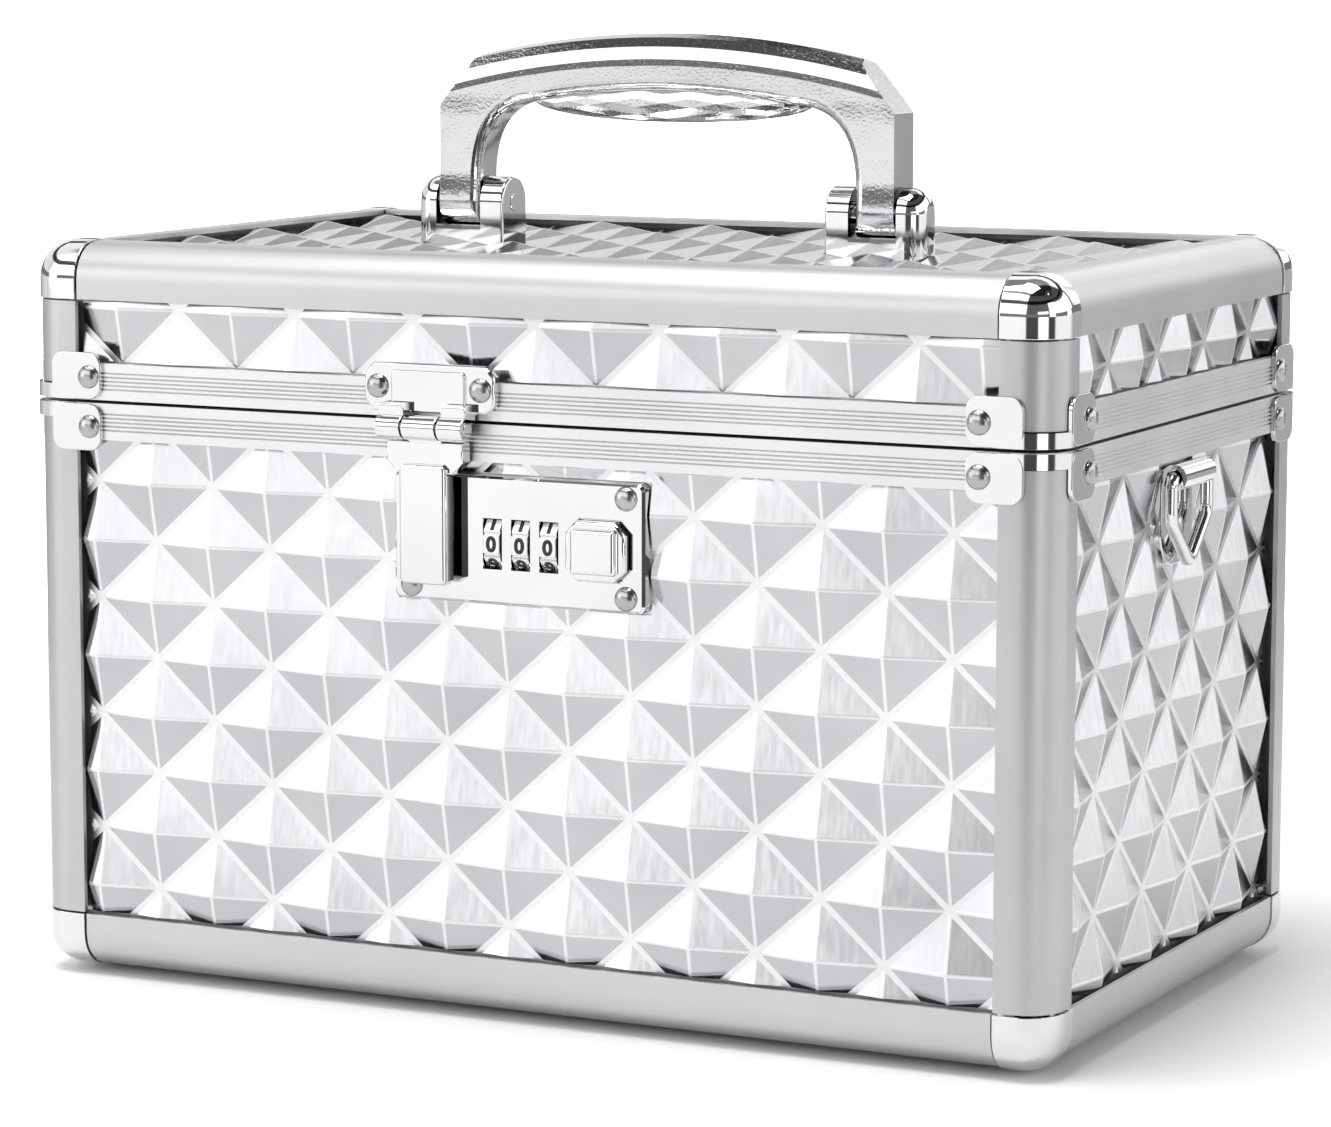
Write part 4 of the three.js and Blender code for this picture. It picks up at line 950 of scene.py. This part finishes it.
plate = bmesh.new()
chamfered_plate(
    plate, about(hasp_across, 31), (plate_low, plate_high), (seat_gap, plate_front), 2.2, 0.7,
)
chamfered_plate(
    plate, about(hasp_across, 17.6), (plate_low, plate_high - 1.4), (1, plate_front + 0.6),
    0.7, 0.45,
)
for across in (barrel[0], middle_knuckle[1] + knuckle_gap):
    knuckle = (across, across + outer_length)
    rounded_plate(plate, knuckle, (hasp_axis + 1.1, 129.4), (0.75, 5.1), 0, 0.5)
    round_bar(plate, knuckle, hasp_axis, hasp_out, barrel_radius, 36, 0.3)
round_bar(plate, about(hasp_across, 20.9), hasp_axis, hasp_out, 1.3, 20, 0.1)
for side in (-1, 1):
    rivet(plate, hasp_across + side * 12.2, 132.6, plate_front)
piece(plate, "hasp_hinge_plate", faces["front"], "lid", riveted, ["hasp_plate"])

# %% Hasp tongue
tongue = bmesh.new()
round_bar(tongue, middle_knuckle, hasp_axis, hasp_out, barrel_radius, 36, 0.3)
rounded_plate(tongue, middle_knuckle, (119, hasp_axis), (0.75, 3.9), 0, 0.4)
shoulders = bmesh.new()
block(shoulders, about(hasp_across, 18), (114.9, 121.6), (0.7, 4))
round_off(shoulders, upright_edges(shoulders, below=115), 2.6, 1)
front = [e for e in shoulders.edges if all(v.co.z > 3.9 for v in e.verts)]
round_off(shoulders, front, 0.45, 3)
append(tongue, shoulders)
chamfered_plate(tongue, about(hasp_across, 11.2), (91.7, 116.9), (1.9, 5.4), 0.9, 0.9, 4)
rounded_plate(tongue, about(hasp_across, 5), (95, 99), (-1.7, 2.8), 0.5)
piece(tongue, "hasp_tongue_cover", faces["front"], "hasp", plated, ["hasp_tongue"])

# %% [markdown]
# ## Lock
# The front of the lock is pressed sheet with a bevelled rim, three windows for the number wheels
# and one for the button. The CAD piece has the windows and the case behind them in the right
# places, so a welded copy of it is taken, and only its rivets are made anew.

# %% Lock front
lock_front, wheel_level, lock_level = 0.05, 100.5, 101.25
wheel_pitch, wheel_middle = 6.62, 1.3
lock = local_copy("lock_plate", faces["front"])
heads = [f for f in lock.faces if f.calc_center_median().z > lock_front + 0.02]
bmesh.ops.delete(lock, geom=heads, context="FACES")
loose = [e for e in lock.edges if e.is_boundary]
bmesh.ops.holes_fill(lock, edges=loose)
merge_flat(lock, 0.5)
for x in (-1, 1):
    for y in (-1, 1):
        rivet(lock, lock_middle + x * 25.2, lock_level + y * 10.35, lock_front)
piece(lock, "lock_front", faces["front"], "base", riveted, ["lock_plate"])

# %% [markdown]
# ## Number wheels
# Each wheel has ten flat faces with a notch between neighbours, and a digit engraved on every
# face. The digits are text: a font gives clean shapes, and each is turned into a mesh before it
# is laid on its face. They are thin plates of ink that are part of the wheel's own mesh.

# %% Wheels with their digits
wheel_radius, wheel_faces, rim_radius = 7.6, 10, 6.5
digit_height, digit_width = 3.5, 2.9
axle_out = lock_front + 0.9 - wheel_radius
face_angle = 2 * math.pi / wheel_faces
flat_radius = wheel_radius * math.cos(face_angle * 0.4)
axle = Vector((wheel_level, axle_out))


def as_mesh(name, outline):
    holder = add_object(name, outline)
    bpy.context.view_layer.update()
    shown = holder.evaluated_get(bpy.context.evaluated_depsgraph_get())
    mesh = bpy.data.meshes.new_from_object(shown)
    bpy.data.objects.remove(holder)
    return mesh


def digit_mesh(digit):
    text = bpy.data.curves.new(f"digit_{digit}", "FONT")
    text.body = str(digit)
    text.size = 4.9
    text.extrude = 0.04
    text.bevel_depth = 0.24
    text.bevel_resolution = 0
    text.resolution_u = 4
    text.align_x = text.align_y = "CENTER"
    return as_mesh("digit", text)


digit_meshes = [digit_mesh(digit) for digit in range(wheel_faces)]
for index in range(3):
    across = wheel_middle + (index - 1) * wheel_pitch
    wheel = local_copy(f"dial_wheel_{index + 1}", faces["front"])
    rims = [e for e in wheel.edges if e.calc_face_angle(0) > math.radians(60)
            and abs(e.verts[0].co.x - e.verts[1].co.x) < 1e-4
            and all((v.co.yz - axle).length > rim_radius for v in e.verts)]
    round_off(wheel, rims, 0.12, 2)
    for digit, source in enumerate(digit_meshes):
        mark = bmesh.new()
        mark.from_mesh(source)
        low = Vector([min(v.co[i] for v in mark.verts) for i in range(3)])
        high = Vector([max(v.co[i] for v in mark.verts) for i in range(3)])
        shrink = min(digit_height / (high.y - low.y), digit_width / (high.x - low.x))
        centre = (low + high) / 2
        mark.transform(
            Matrix.Translation((across, wheel_level, axle_out))
            @ Matrix.Rotation(-digit * face_angle, 4, "X")
            @ Matrix.Translation((0, 0, flat_radius))
            @ Matrix.Diagonal((1.05 * shrink, shrink, 0.2, 1))
            @ Matrix.Translation((-centre.x, -centre.y, 0))
        )
        for face in mark.faces:
            face.material_index = 1
        append(wheel, mark, 1)
    piece(wheel, f"number_wheel_{index + 1}", faces["front"], f"dial_{index + 1}",
          [wheel_finish, ink_finish], [f"dial_wheel_{index + 1}"], crease=20)

# %% [markdown]
# ## Release button
# The button is an octagon with a raised square face. Its bevels are wide and polished, so they
# show as bright and dark frames round the face.

# %% Button
button = bmesh.new()
button_middle = 19.6
for width, height, out, chamfer, edge, steps in (
    (14.1, 12.6, (-2.55, 2.25), 2.6, 0.9, 3),
    (10.6, 9.6, (1.5, 3.65), 0.6, 1.1, 3),
    (16.1, 14.6, (-2.55, -1.25), 2.6, 0.1, 1),
):
    across, up = about(button_middle, width), about(wheel_level, height)
    chamfered_plate(button, across, up, out, chamfer, edge, steps)
rounded_plate(button, about(button_middle, 4), about(wheel_level, 4), (-6.55, -2), 1)
piece(button, "release_button", faces["front"], "button", plated, ["lock_button"])

# %% [markdown]
# ## Carry handle
# The handle is one casting: a flat arch, and a swollen grip under it with facets like a cut stone.
# The arch is a loft of one outline from front to back. The crown of that outline is lowered in
# steps towards the two faces, and each step is a long flat facet that carries a band of light. A
# bevel could not give each band its own width. The other edges get a narrow bevel. Planes then cut
# the two shoulders and round the feet about the pins, and the legs thin out a little over the pins
# and at the shoulders. The grip is a sphere turned on its side and stretched, and its edges are
# marked sharp, so that its facets stay flat.

# %% Sizes of the handle
span_half, leg_width, handle_depth = 55.3, 9.7, 11
pin_level, handle_top, shoulder_top = 166.8, 204.7, 199.7
shoulder_half, shoulder_low = 46.4, 188.3
arch_low, arch_high, arch_half, arch_top = 172, 189.8, 30, 192.2
handle_bevel, arch_round, slope_round = 1.7, 2.6, 0.3
crown_steps = ((6.9, 0), (5.5, 0.08), (2.8, 0.62), (0.8, 1.45), (0, 4.4))
crown_sides, waist_levels = 30, 12
waists = ((167.5, 174, 0.955), (185.5, 191.5, 0.982))
leg_inner = span_half - leg_width


def curve(points, steps):
    start, bend, end = (Vector(p) for p in points)
    return [start * (1 - t) ** 2 + bend * 2 * t * (1 - t) + end * t * t
            for t in (step / steps for step in range(1, steps + 1))]


def handle_outline(drop):
    low = pin_level - handle_depth / 2
    rise = handle_top - shoulder_top
    round_by = (shoulder_half ** 2 + rise ** 2) / (2 * rise)
    sweep = math.asin(span_half / round_by)
    half = [Vector((0, handle_top - drop))]
    for step in range(1, crown_sides + 1):
        angle = sweep * step / crown_sides
        fall = round_by * (1 - math.cos(angle))
        half.append(Vector((round_by * math.sin(angle), half[0].y - fall)))
    half += [Vector((span_half, low)), Vector((leg_inner, low)), Vector((leg_inner, arch_low))]
    half += curve(((leg_inner, arch_low), (leg_inner, arch_high), (arch_half, arch_high)), 12)
    half += curve(((arch_half, arch_high), (arch_half / 2, arch_top), (0, arch_top)), 10)
    return half + [Vector((-p.x, p.y)) for p in reversed(half[1:-1])]


# %% Handle
handle = bmesh.new()
half_depth = handle_depth / 2
front_half = [(drop, back - half_depth) for drop, back in crown_steps]
loft(handle, [
    [(p.x, out, p.y) for p in handle_outline(drop)]
    for drop, out in front_half + [(drop, -out) for drop, out in reversed(front_half)]
])
merge_flat(handle, 0.1)
for edge in handle.edges:
    high_up = all(vert.co.z > arch_high for vert in edge.verts)
    if high_up and edge.calc_face_angle() > math.radians(3):
        edge.smooth = False


def rims(wanted):
    flat = [e for e in handle.edges if all(abs(abs(v.co.y) - half_depth) < 1e-4 for v in e.verts)]
    one_face = [e for e in flat if e.verts[0].co.y * e.verts[1].co.y > 0]
    return [e for e in one_face if all(wanted(v.co) for v in e.verts)]


round_off(handle, rims(lambda p: abs(p.x) > span_half - 1e-3), handle_bevel, 4)
under_arch = rims(lambda p: p.z < arch_top + 0.3 and abs(p.x) < leg_inner + 1e-3)
round_off(handle, under_arch, arch_round, 6)
for side in (-1, 1):
    slope = Vector((side * (shoulder_top - shoulder_low), 0, span_half - shoulder_half))
    slope.normalize()
    start = Vector((side * span_half, 0, shoulder_low))
    trim(handle, start, slope)
    outline = [e for e in handle.edges
               if all(abs((v.co - start).dot(slope)) < 1e-4 for v in e.verts)]
    round_off(handle, outline, slope_round, 2)
for step in range(1, 12):
    tilt = math.radians(-90 + step * 15)
    normal = Vector((0, math.sin(tilt), -math.cos(tilt)))
    trim(handle, Vector((0, 0, pin_level)) + normal * handle_depth / 2, normal)
merge_flat(handle, 0.1)
for low, high, share in waists:
    for step in range(waist_levels + 1):
        at = Vector((0, 0, low + (high - low) * step / waist_levels))
        every = handle.verts[:] + handle.edges[:] + handle.faces[:]
        bmesh.ops.bisect_plane(handle, geom=every, plane_co=at, plane_no=(0, 0, 1), dist=1e-5)
    for vert in handle.verts:
        t = min(max((vert.co.z - low) / (high - low), 0), 1)
        vert.co.y *= 1 + (share - 1) * t * t * (3 - 2 * t)

# %% Grip
grip = bmesh.new()
grip_sides, grip_rings, grip_size = 14, 16, (34, 4.9, 4.35)
grip_level = (185.3 + 194) / 2
bmesh.ops.create_uvsphere(
    grip, u_segments=grip_sides, v_segments=grip_rings, radius=1, matrix=sideways,
)
rings = sorted({round(v.co.x, 4) for v in grip.verts})
for number, at in enumerate(rings):
    ring = [v for v in grip.verts if abs(v.co.x - at) < 1e-3]
    if number % 2:
        half_side = Matrix.Rotation(math.pi / grip_sides, 3, "X")
        bmesh.ops.rotate(grip, verts=ring, cent=(0, 0, 0), matrix=half_side)
bmesh.ops.triangulate(grip, faces=grip.faces, quad_method="SHORT_EDGE")
grip.transform(Matrix.Translation((0, 0, grip_level)) @ Matrix.Diagonal((*grip_size, 1)))
for edge in grip.edges:
    edge.smooth = False
append(handle, grip)
piece(handle, "handle_casting", origin, "handle", [cast_finish], ["handle"])


# %% [markdown]
# ## Handle brackets
# Each bracket is a chrome clevis, flat like a tombstone inside and domed outside, with a slot
# for the handle's leg and a pin across it.

# %% Brackets of the handle
def tombstone(x, half, base):
    arc = [math.pi * step / 20 for step in range(21)]
    return [(x, half, base)] + [
        (x, half * math.cos(a), pin_level + half * math.sin(a)) for a in arc
    ] + [(x, -half, base)]


def cheek(bm, start, end, half, base, dome, steps):
    towards = 1 if end > start else -1
    turns = [quarter * step / steps for step in range(steps + 1)]
    loft(bm, [tombstone(start, half, base)] + [
        tombstone(end - towards * dome * (1 - math.sin(a)), half - dome * (1 - math.cos(a)), base)
        for a in turns
    ])


slot_width, slot_gap, outer_dome, inner_dome = 11.2, 0.5, 4.2, 0.6
pin_length, pin_radius = 13.8, 2.4


def clevis(side):
    bm = bmesh.new()
    base, half = box_height - board_inset + seat_gap, clevis_depth / 2
    centre = side * clevis_middle
    reach = side * clevis_width / 2
    inner, outer = centre - reach, centre + reach
    cheek(bm, centre + side * slot_width / 2, outer, half, base, outer_dome, 8)
    cheek(bm, centre - side * slot_width / 2, inner, half, base, inner_dome, 3)
    floor_level = pin_level - handle_depth / 2 - slot_gap
    block(bm, about(centre, slot_width), (-half, half), (base, floor_level))
    pin = bmesh.new()
    round_bar(pin, about(centre, pin_length), 0, 0, pin_radius, 28, 0)
    cap = (inner - 0.25, inner + 0.5) if side > 0 else (inner - 0.5, inner + 0.25)
    round_bar(pin, cap, 0, 0, 2, 28, 0.2)
    pin.transform(Matrix.Translation((0, 0, pin_level)) @ stand_up)
    append(bm, pin)
    return bm


for side, name in ((-1, "left"), (1, "right")):
    piece(clevis(side), f"handle_clevis_{name}", origin, "lid", plated, [f"handle_bracket_{name}"])

# %% [markdown]
# ## Strap rings
# A bent wire ring swings in a tube on each end. The ring is a closed curve with a round bevel,
# because a swept curve keeps the wire's section true in the bends. It becomes a mesh before it
# is placed.

# %% Rings and their plates
ring_level, ring_out, wire_radius, tube_half = 114.2, 1, 1.5, 9
ring_shoulder, ring_tip, bend_reach = 105, 95.5, 2.2
ring_plate_wall, ring_plate_round = 1.6, 7


def bent_wire():
    half = tube_half + fit_gap + wire_radius
    bends = [Vector(p) for p in (
        (half, ring_level), (-half, ring_level), (-half, ring_shoulder), (0, ring_tip),
        (half, ring_shoulder),
    )]
    route = []
    for index, bend in enumerate(bends):
        before, after = bends[index - 1], bends[(index + 1) % len(bends)]
        start = bend + (before - bend).normalized() * bend_reach
        end = bend + (after - bend).normalized() * bend_reach
        route += [start, *curve((start, bend, end), 6)]
    wire = bpy.data.curves.new("ring_wire", "CURVE")
    wire.dimensions = "3D"
    line = wire.splines.new("POLY")
    line.points.add(len(route) - 1)
    for point, place in zip(line.points, route):
        point.co = (place.x, place.y, ring_out, 1)
    line.use_cyclic_u = True
    wire.bevel_depth = wire_radius
    wire.bevel_resolution = 4
    bm = bmesh.new()
    bm.from_mesh(as_mesh("ring_wire", wire))
    return bm


def ring_plate():
    bm = bmesh.new()
    back = seat_gap - board_inset
    front = back + ring_plate_wall
    sheet = bmesh.new()
    block(sheet, ring_plate_across, (ring_plate_low, ring_plate_high), (back, front))
    round_off(sheet, upright_edges(sheet, below=ring_plate_low + 1), ring_plate_round, 10)
    rim = [e for e in sheet.edges if all(v.co.z > front - tiny for v in e.verts)]
    round_off(sheet, rim, 0.35, 2)
    append(bm, sheet)
    tube = bmesh.new()
    place = Matrix.Translation((0, ring_level, ring_out)) @ sideways
    bmesh.ops.create_circle(tube, segments=32, radius=tube_radius, matrix=place)
    bmesh.ops.translate(tube, verts=tube.verts, vec=(-tube_half, 0, 0))
    grown = bmesh.ops.extrude_edge_only(tube, edges=tube.edges)
    shift_grown(tube, grown, (2 * tube_half, 0, 0))
    give_wall(tube, (0, ring_level, ring_out), tube_radius - wire_radius - fit_gap)
    append(bm, tube)
    rivet(bm, 0, 103, front)
    return bm


for side in ("left", "right"):
    place = faces[side]
    piece(ring_plate(), f"ring_plate_{side}", place, "base", riveted, [f"d_ring_plate_{side}"])
    piece(bent_wire(), f"strap_ring_{side}", place, f"ring_{side}", plated, [f"d_ring_{side}"])
